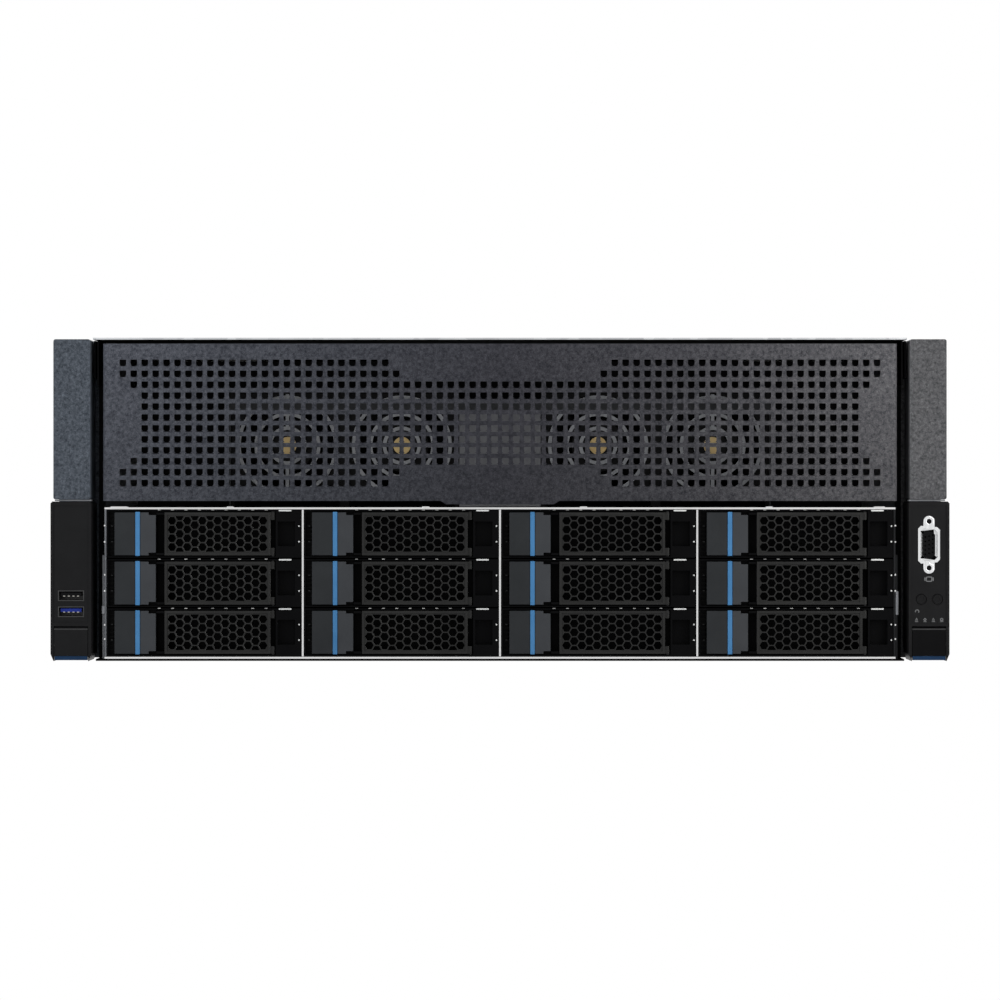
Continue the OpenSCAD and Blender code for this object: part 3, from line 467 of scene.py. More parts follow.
ear_plastic = moulded("ear_plastic", shade(15, 15, 16), shade(25, 25, 26), 0.42, scale=900.0)
flap_plastic = moulded("flap_plastic", shade(15, 15, 16), shade(25, 25, 26), 0.4, scale=900.0)
# The right flap is the left one's plastic painted darker: painted shade.
flap_shaded = moulded("flap_shaded", shade(5, 5, 6), shade(10, 10, 11), 0.4, scale=900.0, sheen=0.06)
# A lighter grey plastic for the ticks in the tray slots and for the painted highlight along the top
# bead of each ear flap.
bead_glint_and_tick_plastic = moulded("bead_glint_and_tick_plastic", shade(44, 44, 45), shade(66, 66, 66), 0.35, scale=900.0)
tray_plastic = moulded("tray_plastic", shade(3, 3, 4), shade(9, 9, 10), 0.5, sheen=0.04)
block_plastic = moulded("block_plastic", shade(5, 5, 5), shade(11, 11, 11), 0.5, sheen=0.03)
lever_plastic = moulded("lever_plastic", shade(30, 30, 30), shade(44, 44, 43), 0.4, sheen=0.14)
# A lighter, glossier plastic for the levers' cell walls that face right: a painted glint.
cell_wall_glint = moulded("cell_wall_glint", shade(60, 60, 60), shade(150, 150, 148), 0.3, sheen=0.5)
button_dark = moulded("button_dark", shade(40, 42, 44), shade(50, 52, 54), 0.38, scale=900.0)
button_light = moulded("button_light", shade(58, 60, 63), shade(69, 71, 74), 0.36, scale=900.0)
stripe_blue = moulded("stripe_blue", shade(66, 120, 168), shade(84, 140, 190), 0.35, 0.1)
tab_blue = moulded("tab_blue", shade(16, 34, 56), shade(32, 64, 100), 0.4, 0.1)
port_blue = moulded("port_blue", shade(24, 34, 96), shade(40, 58, 150), 0.4, 0.1)
knob_plastic = moulded("knob_plastic", shade(16, 16, 17), shade(26, 26, 27), 0.3, 0.1)
fan_plastic = moulded("fan_plastic", shade(8, 8, 9), shade(16, 16, 17), 0.4, sheen=0.05)
socket_plastic = moulded("socket_plastic", shade(10, 10, 11), shade(18, 18, 19), 0.5, sheen=0.05)


# %% [markdown]
# ## Sheet metal
# The chassis is galvanised steel with a faint spangle, the drive cage is bare rolled steel,
# and small shells are nickel plated. The three differ in tone, in roughness and in the size of
# their pattern. Sheet that lies in shadow deep inside the case is painted a dull dark grey or
# near black: painted shade.


# %% Sheet metal
def galvanised(name, dark, light, scale=150.0):
    """Zinc-coated sheet: spangled, with faint streaks along Y."""
    material, tree, body = begin(name, Base_Color=light, Metallic=1.0)
    crystals = place_group(tree, spangle, Scale=scale)
    streaks = place_group(tree, brushing, Along=(500.0, 6.0, 500.0))
    blend = add_node(tree, "ShaderNodeMix", data_type="RGBA")
    blend.inputs[6].default_value = dark
    blend.inputs[7].default_value = light
    tree.links.new(crystals.outputs["Shade"], blend.inputs["Factor"])
    tree.links.new(blend.outputs[2], body.inputs["Base Color"])
    tree.links.new(spread(tree, crystals.outputs["Shade"], 0.34, 0.46), body.inputs["Roughness"])
    bump(tree, body, streaks.outputs["Streak"], 0.06, 0.00005)
    return material


def plated(name, dark, light, rough=0.25, along=(700.0, 700.0, 8.0)):
    """Bright metal with fine streaks."""
    material, tree, body = begin(name, Base_Color=light, Metallic=1.0)
    streaks = place_group(tree, brushing, Along=along)
    blend = add_node(tree, "ShaderNodeMix", data_type="RGBA")
    blend.inputs[6].default_value = dark
    blend.inputs[7].default_value = light
    tree.links.new(streaks.outputs["Streak"], blend.inputs["Factor"])
    tree.links.new(blend.outputs[2], body.inputs["Base Color"])
    polish = spread(tree, streaks.outputs["Streak"], rough - 0.06, rough + 0.08)
    tree.links.new(polish, body.inputs["Roughness"])
    bump(tree, body, streaks.outputs["Streak"], 0.08, 0.00004)
    return material


def dull(name, dark, light, rough, sheen, scale=300.0):
    """Sheet metal that has lost its shine."""
    return moulded(name, dark, light, rough, 0.1, scale, sheen)


chassis_steel = galvanised("chassis_steel", shade(172, 174, 177), shade(196, 198, 200))
cage_steel = plated("cage_steel", shade(196, 196, 196), shade(232, 232, 232), 0.32, (8.0, 600.0, 600.0))
# Painted shade: near-black and dull dark zinc for sheet that lies in shadow.
painted_shade_steel = dull("painted_shade_steel", shade(8, 8, 9), shade(15, 15, 16), 0.5, 0.04, 700.0)
shade_painted_zinc = dull("shade_painted_zinc", shade(34, 35, 37), shade(52, 53, 55), 0.5, 0.1)
guard_steel = dull("guard_steel", shade(120, 122, 126), shade(160, 162, 166), 0.4, 0.2)
post_steel = dull("post_steel", shade(92, 93, 97), shade(120, 121, 124), 0.5, 0.1)
contact_steel = dull("contact_steel", shade(90, 90, 90), shade(214, 214, 210), 0.3, 0.3)
# Painted shade: dark steel for the insides of the USB sockets.
socket_shade_steel = dull("socket_shade_steel", shade(24, 24, 25), shade(60, 60, 60), 0.3, 0.4)
brass_label = dull("brass_label", shade(176, 140, 70), shade(226, 200, 140), 0.3, 0.3)
nickel = plated("nickel", shade(176, 174, 166), shade(214, 212, 204), 0.24)
port_nickel = plated("port_nickel", shade(196, 197, 198), shade(244, 245, 246), 0.2)
shroud_metal = plated("shroud_metal", shade(92, 94, 97), shade(118, 120, 123), 0.4, (600.0, 8.0, 600.0))
psu_steel = galvanised("psu_steel", shade(160, 162, 165), shade(186, 188, 190), 240.0)

# %% [markdown]
# ## Boards and lamps
# Circuit boards are glossy green lacquer over copper, with a cloud of darker traces. The tiny
# light pipes are frosted plastic, pale even when they are off.


# %% Board and light pipe finishes
board_green = moulded("board_green", shade(16, 58, 34), shade(26, 84, 50), 0.28, 0.3, 500.0)
frost = moulded("frost", shade(206, 208, 206), shade(236, 237, 235), 0.3, 0.1)
mark_grey = moulded("mark_grey", shade(96, 97, 98), shade(132, 133, 134), 0.5, 0.1)
tab_green = moulded("tab_green", shade(44, 120, 60), shade(70, 150, 84), 0.4, 0.1)
print("materials:", len(bpy.data.materials))


# %% [markdown]
# ## Dressing the solids
# A solid that is already right keeps its shape. It gets its finish, and where light would catch
# a sharp edge, a bevel modifier that leaves the stored mesh as it is. Faces that differ within
# one solid, such as the blue strip in the grey button, are chosen by where their middles lie.


# %% Finish helpers
def finish(names, material, edge=0.0, steps=2):
    """Gives each named solid one material and, if edge is set, rounded edges."""
    for name in names:
        solid = nodes[name]
        solid.data.materials.clear()
        solid.data.materials.append(material)
        for face in solid.data.polygons:
            face.material_index = 0
        if edge:
            soften(solid, edge, steps)


def soften(solid, edge, steps=2):
    """Joins the solid's facets and rounds the edges between them."""
    for face in solid.data.polygons:
        face.use_smooth = False
    weld = solid.modifiers.new("weld", "WELD")
    weld.merge_threshold = 0.001 * mm
    bevel = solid.modifiers.new("bevel", "BEVEL")
    bevel.width = edge
    bevel.segments = steps
    bevel.limit_method = "ANGLE"
    bevel.angle_limit = math.radians(40)
    bevel.use_clamp_overlap = True


def repaint(name, material, chosen):
    """Gives a second material to the faces whose middle passes the test."""
    solid = nodes[name]
    solid.data.materials.append(material)
    index = len(solid.data.materials) - 1
    for face in solid.data.polygons:
        if chosen(face.center, face.normal):
            face.material_index = index


def numbered(stem, count):
    """Names of the pieces of one kind."""
    return [f"{stem}_{i}" for i in range(1, count + 1)]


tray_count = 12
trays = numbered("drive_tray", tray_count)
levers = numbered("tray_lever", tray_count)
buttons = numbered("tray_button", tray_count)
supplies = numbered("power_supply", 4)
rotors = numbered("fan_rotor", 4)

# %% Finishes of the fixed solids
finish(["chassis_base", "top_cover"], chassis_steel)
finish(["front_panel"], panel_paint)
finish(["drive_cage"], cage_steel)
finish(["drive_backplane", "mainboard"], board_green)
finish(["rack_ear_left"], ear_paint_left, 0.6 * mm)
finish(["rack_ear_right"], ear_paint_right, 0.6 * mm)
finish(["usb_module_left", "vga_module_right"], ear_plastic, 0.25 * mm)
finish(["ear_latch_left"], flap_plastic, 0.3 * mm)
finish(["ear_latch_right"], flap_shaded, 0.3 * mm)
finish(["power_button", "locator_button"], knob_plastic)
finish(["fan_carriers"], fan_plastic)
finish(["gpu_cards"], shroud_metal)
finish(rotors, fan_plastic)
finish(supplies, psu_steel)
finish(trays, tray_plastic, 0.15 * mm, 1)
finish(levers, lever_plastic)
finish(buttons, button_dark, 0.25 * mm)

# %% [markdown]
# ## Second finishes within a solid
# The inside of the chassis is painted a dull dark zinc, painted shade where little light falls,
# and the edge of its front flange, the lid's underside and the lid's front edge are painted near
# black, painted shade beside the intake panel. The fans' wire guards and the posts between them
# are bare steel, and each hub has a brass-coloured label. The power supplies carry a black handle
# and a green release tab, and the ports have plated shells.

# %% Chassis and fans
near = 0.3 * mm
wall_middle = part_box("chassis_base")[1].x - 0.5 * mm
floor_top = 2 * mm
fans_low, fans_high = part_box("fan_carriers")
panel_low, panel_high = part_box("front_panel")
cage_low, cage_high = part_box("drive_cage")


def is_inside(center, normal):
    """Faces of the tub that look inwards."""
    walls = abs(normal.x) > 0.5 and abs(center.x) < wall_middle and center.z > floor_top
    floor_face = normal.z > 0.5 and center.z < floor_top
    return walls or floor_face


def faces_front(normal):
    return normal.y < -0.5


flange_end = panel_high.y + 12 * mm
# Painted shade: the tub's inner faces take the dull dark zinc, and its front flange, the lid's
# underside and the lid's front edge below the panel's top are painted near-black.
repaint("chassis_base", shade_painted_zinc, is_inside)
repaint("chassis_base", painted_shade_steel, lambda c, n: c.y < flange_end and n.z > -0.5)
repaint("top_cover", painted_shade_steel, lambda c, n: n.z < -0.5 or (faces_front(n) and c.z < panel_high.z))

# The fans' carrier steps back from its rail to the posts, and from there to the wire guards
rail_y = fans_low.y
post_y, guard_y = rail_y + 6 * mm, rail_y + 8.4 * mm
post_reach = 24 * mm
repaint("fan_carriers", guard_steel, lambda c, n: faces_front(n) and abs(c.y - guard_y) < near)
# The rail's front faces behind the panel are painted dull dark zinc: painted shade.
repaint("fan_carriers", shade_painted_zinc, lambda c, n: faces_front(n) and abs(c.y - rail_y) < near)
repaint("fan_carriers", post_steel,
        lambda c, n: faces_front(n) and abs(c.y - post_y) < near and abs(c.x) < post_reach)
hub_label = 0.9 * mm
for name in rotors:
    low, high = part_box(name)
    repaint(name, brass_label, lambda c, n: c.y < low.y + hub_label)

# %% Drive cage
# Painted shade: the cage's outer walls take the dull dark zinc, and all of it deeper than its front
# edge is painted near-black. The left wall's front edge is painted a lighter grey than the right one's:
# painted light on that side.
side_band, unshaded_depth = 3 * mm, 8 * mm
repaint("drive_cage", shade_painted_zinc, lambda c, n: abs(c.x) > cage_high.x - side_band)
repaint("drive_cage", painted_shade_steel, lambda c, n: c.y > cage_low.y + unshaded_depth)
repaint("drive_cage", guard_steel,
        lambda c, n: faces_front(n) and c.x < cage_low.x + side_band and c.y < cage_low.y + mm)

# %% Trays, buttons and latches
block_width, bezel_depth = 14 * mm, 20 * mm
for name in trays:
    low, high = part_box(name)
    repaint(name, block_plastic,
            lambda c, n: faces_front(n) and c.y < low.y + near and c.x > high.x - block_width)
    # Everything behind the bezel is painted near-black: painted shade.
    repaint(name, painted_shade_steel, lambda c, n: c.y > low.y + bezel_depth)
lever_rim = 2 * mm
for name in levers:
    low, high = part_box(name)
    # The cell walls that face +X are painted lighter: a painted glint.
    repaint(name, cell_wall_glint,
            lambda c, n: n.x > 0.3 and abs(n.y) < 0.3
            and low.x + lever_rim < c.x < high.x - lever_rim
            and low.z + lever_rim < c.z < high.z - lever_rim)
button_width, strip_width, strip_depth = 22.1 * mm, 2.5 * mm, 1.2 * mm
for name in buttons:
    low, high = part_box(name)
    strip_from = low.x + button_width / 2 + 0.1 * mm
    strip_to = strip_from + strip_width
    repaint(name, button_light, lambda c, n: c.x > strip_to)
    repaint(name, stripe_blue,
            lambda c, n: strip_from < c.x < strip_to and c.y < low.y + strip_depth)
lip_height, bead_glint_band = 2.3 * mm, 4 * mm
for name in ("ear_latch_left", "ear_latch_right"):
    low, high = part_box(name)
    repaint(name, tab_blue, lambda c, n: c.z < low.z + lip_height)
    # The flap's forward- and upward-facing faces along its top bead are painted lighter: a painted
    # highlight.
    repaint(name, bead_glint_and_tick_plastic,
            lambda c, n: n.y < -0.9 and 0.02 < n.z < 0.4 and c.z > high.z - bead_glint_band)
print("blue strips:", len(buttons))

# %% Ports of the two ears
def middle_x(name):
    low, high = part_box(name)
    return (low.x + high.x) / 2


def is_within(center, x, z, reach_x, reach_z):
    """Whether a face's middle lies in a window round (x, z)."""
    return abs(center.x - x) < reach_x and abs(center.z - z) < reach_z


usb_x = middle_x("usb_module_left")
usb_z = (26.7 * mm, 35.3 * mm)
socket_w, socket_h = 14 * mm, 5.7 * mm
tongue_reach, tongue_length = 5.8 * mm, 14 * mm
for z, tongue in ((usb_z[0], port_blue), (usb_z[1], socket_plastic)):
    # The socket's inside is painted dark steel: painted shade in its mouth.
    repaint("usb_module_left", socket_shade_steel,
            lambda c, n: is_within(c, usb_x, z, socket_w / 2 + near, socket_h / 2 + near)
            and c.y > front_y + near)
    repaint("usb_module_left", tongue,
            lambda c, n: abs(c.x - usb_x) < tongue_reach and -0.4 * mm < c.z - z < 2 * mm
            and front_y + mm < c.y < front_y + tongue_length)

port_x, port_z = middle_x("vga_module_right"), 62.7 * mm
field_y = front_y + 0.4 * mm
flange_reach = (6.2 * mm, 15.8 * mm)
insert_reach = (3.3 * mm, 7.6 * mm)
port_depth = 7 * mm


def is_port_metal(center, normal):
    """Faces of the port, which lie off the module's own sunken face."""
    return (is_within(center, port_x, port_z, *flange_reach) and center.y < front_y + port_depth
            and abs(center.y - field_y) > 0.02 * mm)


repaint("vga_module_right", port_nickel, is_port_metal)
repaint("vga_module_right", socket_plastic,
        lambda c, n: is_within(c, port_x, port_z, *insert_reach) and c.y > front_y + 0.05 * mm)

# %% Cards, boards and power supplies
card_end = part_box("gpu_cards")[1].y
bracket = 1.5 * mm
repaint("gpu_cards", nickel, lambda c, n: c.y > card_end - bracket)

board_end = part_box("mainboard")[1].y
port_length, port_foot, port_top = 40 * mm, 7.2 * mm, 24 * mm
repaint("mainboard", nickel, lambda c, n: c.y > board_end - port_length and port_foot < c.z < port_top)
sink_foot, sink_end, sink_from, sink_to = 10 * mm, 20 * mm, 60 * mm, 150 * mm
repaint("mainboard", shroud_metal,
        lambda c, n: c.z > sink_foot and c.y < sink_end and sink_from < abs(c.x) < sink_to)

handle_depth, inlet_depth = 21 * mm, 21 * mm
inlet_from, inlet_foot, inlet_top = 5.9 * mm, 5.9 * mm, 25.1 * mm
handle_to, tab_from = 7 * mm, 15 * mm
for name in supplies:
    low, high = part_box(name)
    can_y = high.y - handle_depth
    middle = middle_x(name)
    repaint(name, socket_plastic,
            lambda c, n: can_y - inlet_depth < c.y < can_y - near and c.x > middle + inlet_from
            and low.z + inlet_foot < c.z < low.z + inlet_top)
    repaint(name, fan_plastic, lambda c, n: c.y > can_y + near and c.x < middle + handle_to)
    repaint(name, tab_green, lambda c, n: c.y > can_y + near and c.x > middle + tab_from)
print("power supplies:", len(supplies))

# %% [markdown]
# ## Small pieces
# What is left is mostly thinner than the sheet that carries it: light pipes, spring fingers,
# marks, port contacts and nuts. Each starts as an outline in X and Z, and is carried a little
# way along Y. A narrow bevel then gives it an edge that shines.


# %% Outlines and slabs
def oblong(x, z, width, height, radius=0.0, steps=4):
    """A rectangle round (x, z) with round corners, as a list of points."""
    if radius <= 0:
        return [(x + sx * width / 2, z + sz * height / 2)
                for sx, sz in ((-1, -1), (1, -1), (1, 1), (-1, 1))]
    points = []
    for k, (sx, sz) in enumerate(((1, -1), (1, 1), (-1, 1), (-1, -1))):
        for step in range(steps + 1):
            angle = math.radians(-90 + 90 * k + 90 * step / steps)
            points.append((x + sx * (width / 2 - radius) + radius * math.cos(angle),
                           z + sz * (height / 2 - radius) + radius * math.sin(angle)))
    return points


def disc(x, z, radius, sides=24, turn=0.0):
    """Points of a regular outline round (x, z)."""
    angles = [turn + math.tau * k / sides for k in range(sides)]
    return [(x + radius * math.cos(angle), z + radius * math.sin(angle)) for angle in angles]


def slab(mesh, outline, near_y, far_y, hole=None):
    """Carries an outline in X and Z along Y; a hole has as many points as the outline."""
    def loop(points, y):
        return [mesh.verts.new((x, y, z)) for x, z in points]

    front, back = loop(outline, near_y), loop(outline, far_y)
    count = len(outline)
    pairs = [(k, (k + 1) % count) for k in range(count)]
    for a, b in pairs:
        mesh.faces.new((front[a], back[a], back[b], front[b]))
    if hole is None:
        mesh.faces.new(front)
        mesh.faces.new(list(reversed(back)))
        return
    inner_front, inner_back = loop(hole, near_y), loop(hole, far_y)
    for a, b in pairs:
        mesh.faces.new((front[a], front[b], inner_front[b], inner_front[a]))
        mesh.faces.new((back[b], back[a], inner_back[a], inner_back[b]))
        mesh.faces.new((inner_front[a], inner_front[b], inner_back[b], inner_back[a]))


def add_piece(name, body, material, fill, edge=0.0):
    """A new piece that rides on a body; `fill` draws its mesh."""
    mesh = bmesh.new()
    fill(mesh)
    bmesh.ops.recalc_face_normals(mesh, faces=mesh.faces)
    data = bpy.data.meshes.new(name)
    mesh.to_mesh(data)
    mesh.free()
    data.materials.append(material)
    piece = bpy.data.objects.new(name, data)
    scene.collection.objects.link(piece)
    if edge:
        bevel = piece.modifiers.new("edge", "BEVEL")
        bevel.width = edge
        bevel.segments = 2
        bevel.limit_method = "ANGLE"
    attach(piece, body)
    return piece


# %% [markdown]
# ## Details of a tray
# Each tray shows a white light pipe over its fixed block and two more on the block's side.
# Nine steel spring fingers stand on its upper lip and earth it against its neighbour. The
# slot to the left of the release button has a ribbed floor with two light ticks.

# %% Light pipes, fingers and ribs
slide_gap, bezel_step = 0.35 * mm, 0.6 * mm
lip_rise = 12.9 * mm
pipe_x, side_pipe_x, lamp_rise = 96.4 * mm, 103.9 * mm, 4.2 * mm
finger_x, finger_count, finger_pitch = 28.6 * mm, 9, 7.2 * mm
rib_x, rib_count, rib_pitch = 2.9 * mm, 9, 2.4 * mm
rib_end = 3.3 * mm
for i in range(1, tray_count + 1):
    low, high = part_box(f"drive_tray_{i}")
    bay_x, tray_y, row_z = low.x - slide_gap, low.y - bezel_step, (low.z + high.z) / 2
    lip_z = row_z + lip_rise

    def pipes(mesh):
        slab(mesh, oblong(bay_x + pipe_x, lip_z - 0.35 * mm, 6.8 * mm, 0.8 * mm, 0.3 * mm),
             tray_y + 0.2 * mm, tray_y + 2 * mm)
        for side in (-1, 1):
            slab(mesh, disc(bay_x + side_pipe_x, row_z + side * lamp_rise, 0.45 * mm, 12),
                 tray_y + 0.4 * mm, tray_y + 2 * mm)

    def fingers(mesh):
        for k in range(finger_count):
            slab(mesh, oblong(bay_x + finger_x + k * finger_pitch, lip_z, 1.5 * mm, 0.4 * mm, 0.1 * mm),
                 tray_y + 0.5 * mm, tray_y + 5 * mm)

    def ribs(mesh):
        for k in range(rib_count):
            z = row_z + (k - (rib_count - 1) / 2) * rib_pitch
            slab(mesh, oblong(bay_x + rib_x, z, 3.2 * mm, 0.9 * mm, 0.2 * mm),
                 tray_y + 2.6 * mm, tray_y + rib_end)

    def ticks(mesh):
        for side in (-1, 1):
            z = row_z + side * lamp_rise
            slab(mesh, oblong(bay_x + rib_x + 0.1 * mm, z, 1.1 * mm, 0.34 * mm, 0.1 * mm),
                 tray_y + 2.5 * mm, tray_y + rib_end)

    body = f"tray_{i}"
    add_piece(f"light_pipes_{i}", body, frost, pipes, 0.08 * mm)
    add_piece(f"spring_fingers_{i}", body, contact_steel, fingers, 0.08 * mm)
    add_piece(f"slot_ribs_{i}", body, block_plastic, ribs, 0.08 * mm)
    add_piece(f"slot_ticks_{i}", body, bead_glint_and_tick_plastic, ticks, 0.06 * mm)
print("tray details:", tray_count)

# %% [markdown]
# ## Marks and contacts of the ears
# The right ear has a screen mark under its display port, rings round the two buttons and a row
# of small status marks. They are drawn as raised print, a tenth of a millimetre thick.

# %% Screen mark, rings and status marks
def raised(mesh, outline, hole=None, height=0.1 * mm):
    """Print that stands on the module's sunken face and starts a little way inside it."""
    slab(mesh, outline, field_y - height, field_y + near, hole)


def screen_mark(mesh):
    z = 44.2 * mm
    raised(mesh, oblong(port_x, z, 3.4 * mm, 2.8 * mm, 0.7 * mm),
           oblong(port_x, z, 2.4 * mm, 1.8 * mm, 0.4 * mm))
    for side in (-1, 1):
        raised(mesh, oblong(port_x + side * 2.2 * mm, z, 0.6 * mm, 1.9 * mm, 0.2 * mm))


def status_marks(mesh):
    """Four small shapes, each over a short bar."""
    first, step, z = port_x - 6.7 * mm, 4.5 * mm, 22.5 * mm
    upright = math.pi / 2
    for k, sides in enumerate((3, 4, 3, 6)):
        x = first + k * step
        raised(mesh, disc(x, z, 0.95 * mm, sides, upright), disc(x, z, 0.45 * mm, sides, upright))
        raised(mesh, oblong(x, z - 1.1 * mm, 1.7 * mm, 0.35 * mm, 0.1 * mm))


def arc_mark(mesh):
    """An open ring, drawn as short pieces from -40 to 200 degrees."""
    x, z = port_x - 6.4 * mm, 26.8 * mm
    inner, outer = 0.7 * mm, 1.15 * mm
    angles = [math.radians(-40 + 24 * k) for k in range(11)]
    for a, b in zip(angles, angles[1:]):
        raised(mesh, [(x + r * math.cos(t), z + r * math.sin(t))
                      for r, t in ((inner, a), (outer, a), (outer, b), (inner, b))])


def button_rings(mesh):
    for name in ("power_button", "locator_button"):
        low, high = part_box(name)
        x, z = (low.x + high.x) / 2, (low.z + high.z) / 2
        raised(mesh, disc(x, z, 3.2 * mm, 40), disc(x, z, 2.87 * mm, 40), 0.15 * mm)


add_piece("screen_mark", "chassis", mark_grey, screen_mark)
add_piece("status_marks", "chassis", mark_grey, status_marks)
add_piece("arc_mark", "chassis", mark_grey, arc_mark)
add_piece("button_rings", "chassis", knob_plastic, button_rings, 0.05 * mm)


# %% Contacts and nuts of the ports
def usb_contacts(mesh):
    contacts, step = 4, 2.5 * mm
    for z in usb_z:
        for k in range(contacts):
            x = usb_x + (k - (contacts - 1) / 2) * step
            slab(mesh, oblong(x, z - 0.2 * mm, 1.1 * mm, 0.3 * mm),
                 front_y + 1.1 * mm, front_y + 9 * mm)


nut_rise, nut_radius, nut_hole, nut_end = 12.5 * mm, 2.9 * mm, 1.5 * mm, 0.6 * mm


def display_nuts(mesh):
    """A hexagon nut above and below the display port."""
    turn = math.radians(30)
    for side in (-1, 1):
        z = port_z + side * nut_rise
        slab(mesh, disc(port_x, z, nut_radius, 6, turn), front_y + 0.02 * mm, front_y + nut_end,
             disc(port_x, z, nut_hole, 6, turn))


def nut_bore_shade(mesh):
    """A dark disc inside each of the two nuts, one step behind their faces: painted shade in the bores.
    """
    for side in (-1, 1):
        slab(mesh, disc(port_x, port_z + side * nut_rise, nut_hole - 0.02 * mm, 20),
             front_y + 0.2 * mm, front_y + nut_end)


add_piece("usb_contacts", "chassis", nickel, usb_contacts)
add_piece("display_nuts", "chassis", port_nickel, display_nuts, 0.12 * mm)
add_piece("nut_bore_shade", "chassis", socket_plastic, nut_bore_shade, 0.05 * mm)
print("ear pieces done")


# %% [markdown]
# ## Trim of the cage and the ears
# The cage's front edge is a raw sheared edge with a few pressed lugs that key it into the
# panel's lower fold, and a steel tab stands at each side of the lower rows. In the seam of each
# ear the bright edge of its plate shows. Dark strips in the slit between the chassis wall, the
# ear and the lid are painted shade.

# %% Cage lugs, tabs and ear seams
def cage_lugs(mesh):
    for x, width in ((-205.2, 9.4), (-145.4, 3.6), (-40, 4), (45, 4), (145, 3.6), (204.4, 6)):
        slab(mesh, oblong(x * mm, cage_high.z + 0.1 * mm, width * mm, 0.9 * mm, 0.4 * mm),
             cage_low.y - 0.1 * mm, cage_low.y + 6 * mm)


def side_tabs(mesh):
    slab(mesh, oblong(cage_high.x - 0.4 * mm, 31.2 * mm, 1.4 * mm, 12.8 * mm, 0.4 * mm),
         cage_low.y - 0.6 * mm, cage_low.y + 2 * mm)
    slab(mesh, oblong(cage_low.x + 0.6 * mm, 27.5 * mm, 1.5 * mm, 4.4 * mm, 0.4 * mm),
         cage_low.y - 0.6 * mm, cage_low.y + 2 * mm)


def wall_dimples(mesh):
    """Pressed points along the front edges of the cage's two outer walls."""
    x = cage_high.x - 1.3 * mm
    for side in (-1, 1):
        for z in (72.9, 64.1, 46.4, 37.7, 19.4, 11.8):
            slab(mesh, disc(side * x, z * mm, 0.5 * mm, 10), cage_low.y - 0.25 * mm, cage_low.y + mm)


def ear_seams(mesh):
    """Bright edge of each ear's plate, in the seam between its cover and its housing."""
    for side in (-1, 1):
        slab(mesh, oblong(side * 229.6 * mm, 86.5 * mm, 19.4 * mm, 0.8 * mm, 0.3 * mm),
             front_y + 2.6 * mm, front_y + 12 * mm)


def slit_shade_strips(mesh):
    """Dark strips where the lid, the ear and the chassis wall meet: painted shade in the slit."""
    for side in (-1, 1):
        slab(mesh, oblong(side * 216.55 * mm, 160.5 * mm, 0.8 * mm, 24 * mm, 0.1 * mm),
             front_y + 7.4 * mm, front_y + 30 * mm)
        slab(mesh, oblong(side * 218.5 * mm, 162.5 * mm, 1.1 * mm, 20 * mm, 0.1 * mm),
             front_y + 10 * mm, front_y + 90 * mm)


add_piece("cage_lugs", "chassis", cage_steel, cage_lugs, 0.1 * mm)
add_piece("ear_seams", "chassis", guard_steel, ear_seams, 0.1 * mm)
add_piece("slit_shade_strips", "chassis", painted_shade_steel, slit_shade_strips, 0.1 * mm)
add_piece("side_tabs", "chassis", guard_steel, side_tabs, 0.1 * mm)
add_piece("wall_dimples", "chassis", cage_steel, wall_dimples, 0.1 * mm)
print("cage trim done")

# %% [markdown]
# ## Intake panel and the dark sheets behind the fans
# The panel's square holes have round corners of one millimetre, so each gets four small
# fillets. Behind the fans a black sheet with a round opening for each fan fills the chassis'
# section, and sloping black slats lie behind it: painted shade that shuts off the view to the
# rear of the case.

# %% Hole fillets
hole_pitch, hole_w, hole_radius = 5.88 * mm, 3.6 * mm, 1.0 * mm
hole_rows, hole_columns, title_gap = 12, 70, 20
face_z = (panel_low.z + 1.8 * mm + panel_high.z) / 2


def hole_places():
    """Middles of the panel's holes: full rows but for the corners and two bands in the middle."""
    for row in range(hole_rows):
        edge_row = min(row, hole_rows - 1 - row)
        inset = max(0, min(2, edge_row - 1))
        gap = title_gap - 2 * edge_row if edge_row < 2 else 0
        for column in range(inset, hole_columns - inset):
            from_middle = column - (hole_columns - 1) / 2
            if abs(from_middle) > gap / 2:
                yield from_middle * hole_pitch, face_z + ((hole_rows - 1) / 2 - row) * hole_pitch


def hole_fillets(mesh):
    half = hole_w / 2 + 0.02 * mm
    front, back = panel_low.y + 0.02 * mm, panel_low.y + 0.98 * mm
    for x, z in hole_places():
        for sx, sz in ((1, 1), (-1, 1), (-1, -1), (1, -1)):
            outline = [(x + sx * half, z + sz * half)]
            for step in range(4):
                angle = math.radians(90 - 30 * step)
                outline.append((x + sx * (half - hole_radius * (1 - math.cos(angle))),
                                z + sz * (half - hole_radius * (1 - math.sin(angle)))))
            slab(mesh, outline, front, back)


add_piece("hole_fillets", "chassis", panel_paint, hole_fillets)
print("holes:", len(list(hole_places())))


# %% Fan bulkhead and louvres
guide_reach = 212 * mm


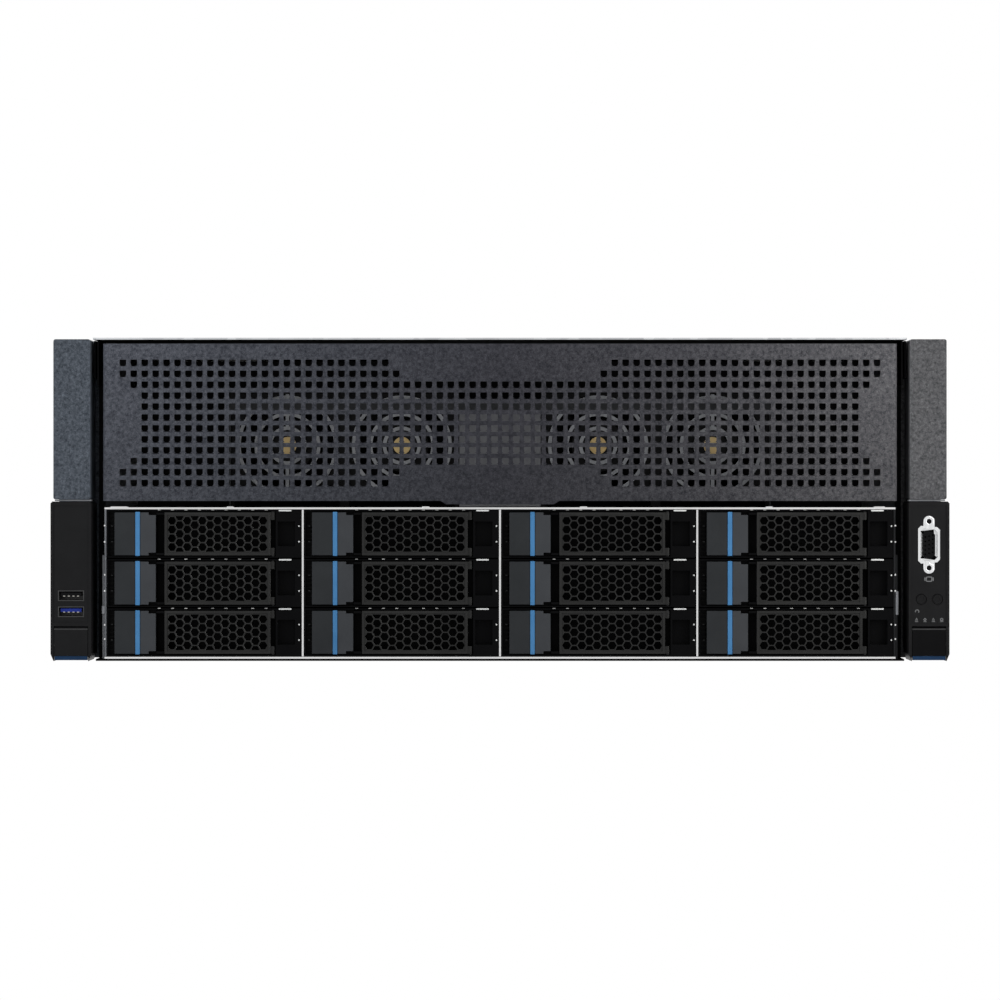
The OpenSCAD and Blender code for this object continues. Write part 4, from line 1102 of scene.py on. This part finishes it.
def square_round(x, z, half, sides):
    """Points of a square round (x, z), at the same angles as those of a disc."""
    points = []
    for dx, dz in disc(0, 0, 1, sides):
        stretch = half / max(abs(dx), abs(dz))
        points.append((x + dx * stretch, z + dz * stretch))
    return points


def fan_shade_bulkhead(mesh):
    """A sheet with round openings, made of one square per fan and straight strips between them."""
    bottom, top = 3 * mm, 168 * mm
    half, opening, sides = 30 * mm, 28.4 * mm, 32
    y = fans_high.y + 1.2 * mm

    def strip(x_from, x_to, z_from, z_to):
        middle = (x_from + x_to) / 2, (z_from + z_to) / 2
        slab(mesh, oblong(*middle, x_to - x_from, z_to - z_from), y, y + mm)

    centres = []
    for name in rotors:
        low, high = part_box(name)
        centres.append(((low.x + high.x) / 2, (low.z + high.z) / 2))
    centres.sort()
    cuts = [-guide_reach] + [x + side * half for x, z in centres for side in (-1, 1)] + [guide_reach]
    for x_from, x_to in zip(cuts[::2], cuts[1::2]):
        strip(x_from, x_to, bottom, top)
    for x, z in centres:
        strip(x - half, x + half, z + half, top)
        strip(x - half, x + half, bottom, z - half)
        slab(mesh, square_round(x, z, half, sides), y, y + mm, disc(x, z, opening, sides))


def shade_louvres(mesh):
    """Sloping slats over the board, each lapping the next."""
    count, first_z, pitch, lap = 8, 70 * mm, 12 * mm, 2 * mm
    near_y, far_y = fans_high.y + 3 * mm, fans_high.y + 17 * mm
    rise = pitch + lap
    for k in range(count):
        z = first_z + k * pitch
        profile = [(near_y, z), (near_y, z + mm), (far_y, z + rise), (far_y, z + rise - mm)]
        left = [mesh.verts.new((-guide_reach, y, height)) for y, height in profile]
        right = [mesh.verts.new((guide_reach, y, height)) for y, height in profile]
        for a, b in ((0, 1), (1, 2), (2, 3), (3, 0)):
            mesh.faces.new((left[a], left[b], right[b], right[a]))
        mesh.faces.new(left)
        mesh.faces.new(list(reversed(right)))


# Both are near-black sheets that stand for the shade deep inside the case.
add_piece("fan_shade_bulkhead", "chassis", painted_shade_steel, fan_shade_bulkhead)
add_piece("shade_louvres", "chassis", painted_shade_steel, shade_louvres, 0.2 * mm)
print("air guides done")

# %% [markdown]

# %% Last line
bpy.context.view_layer.update()
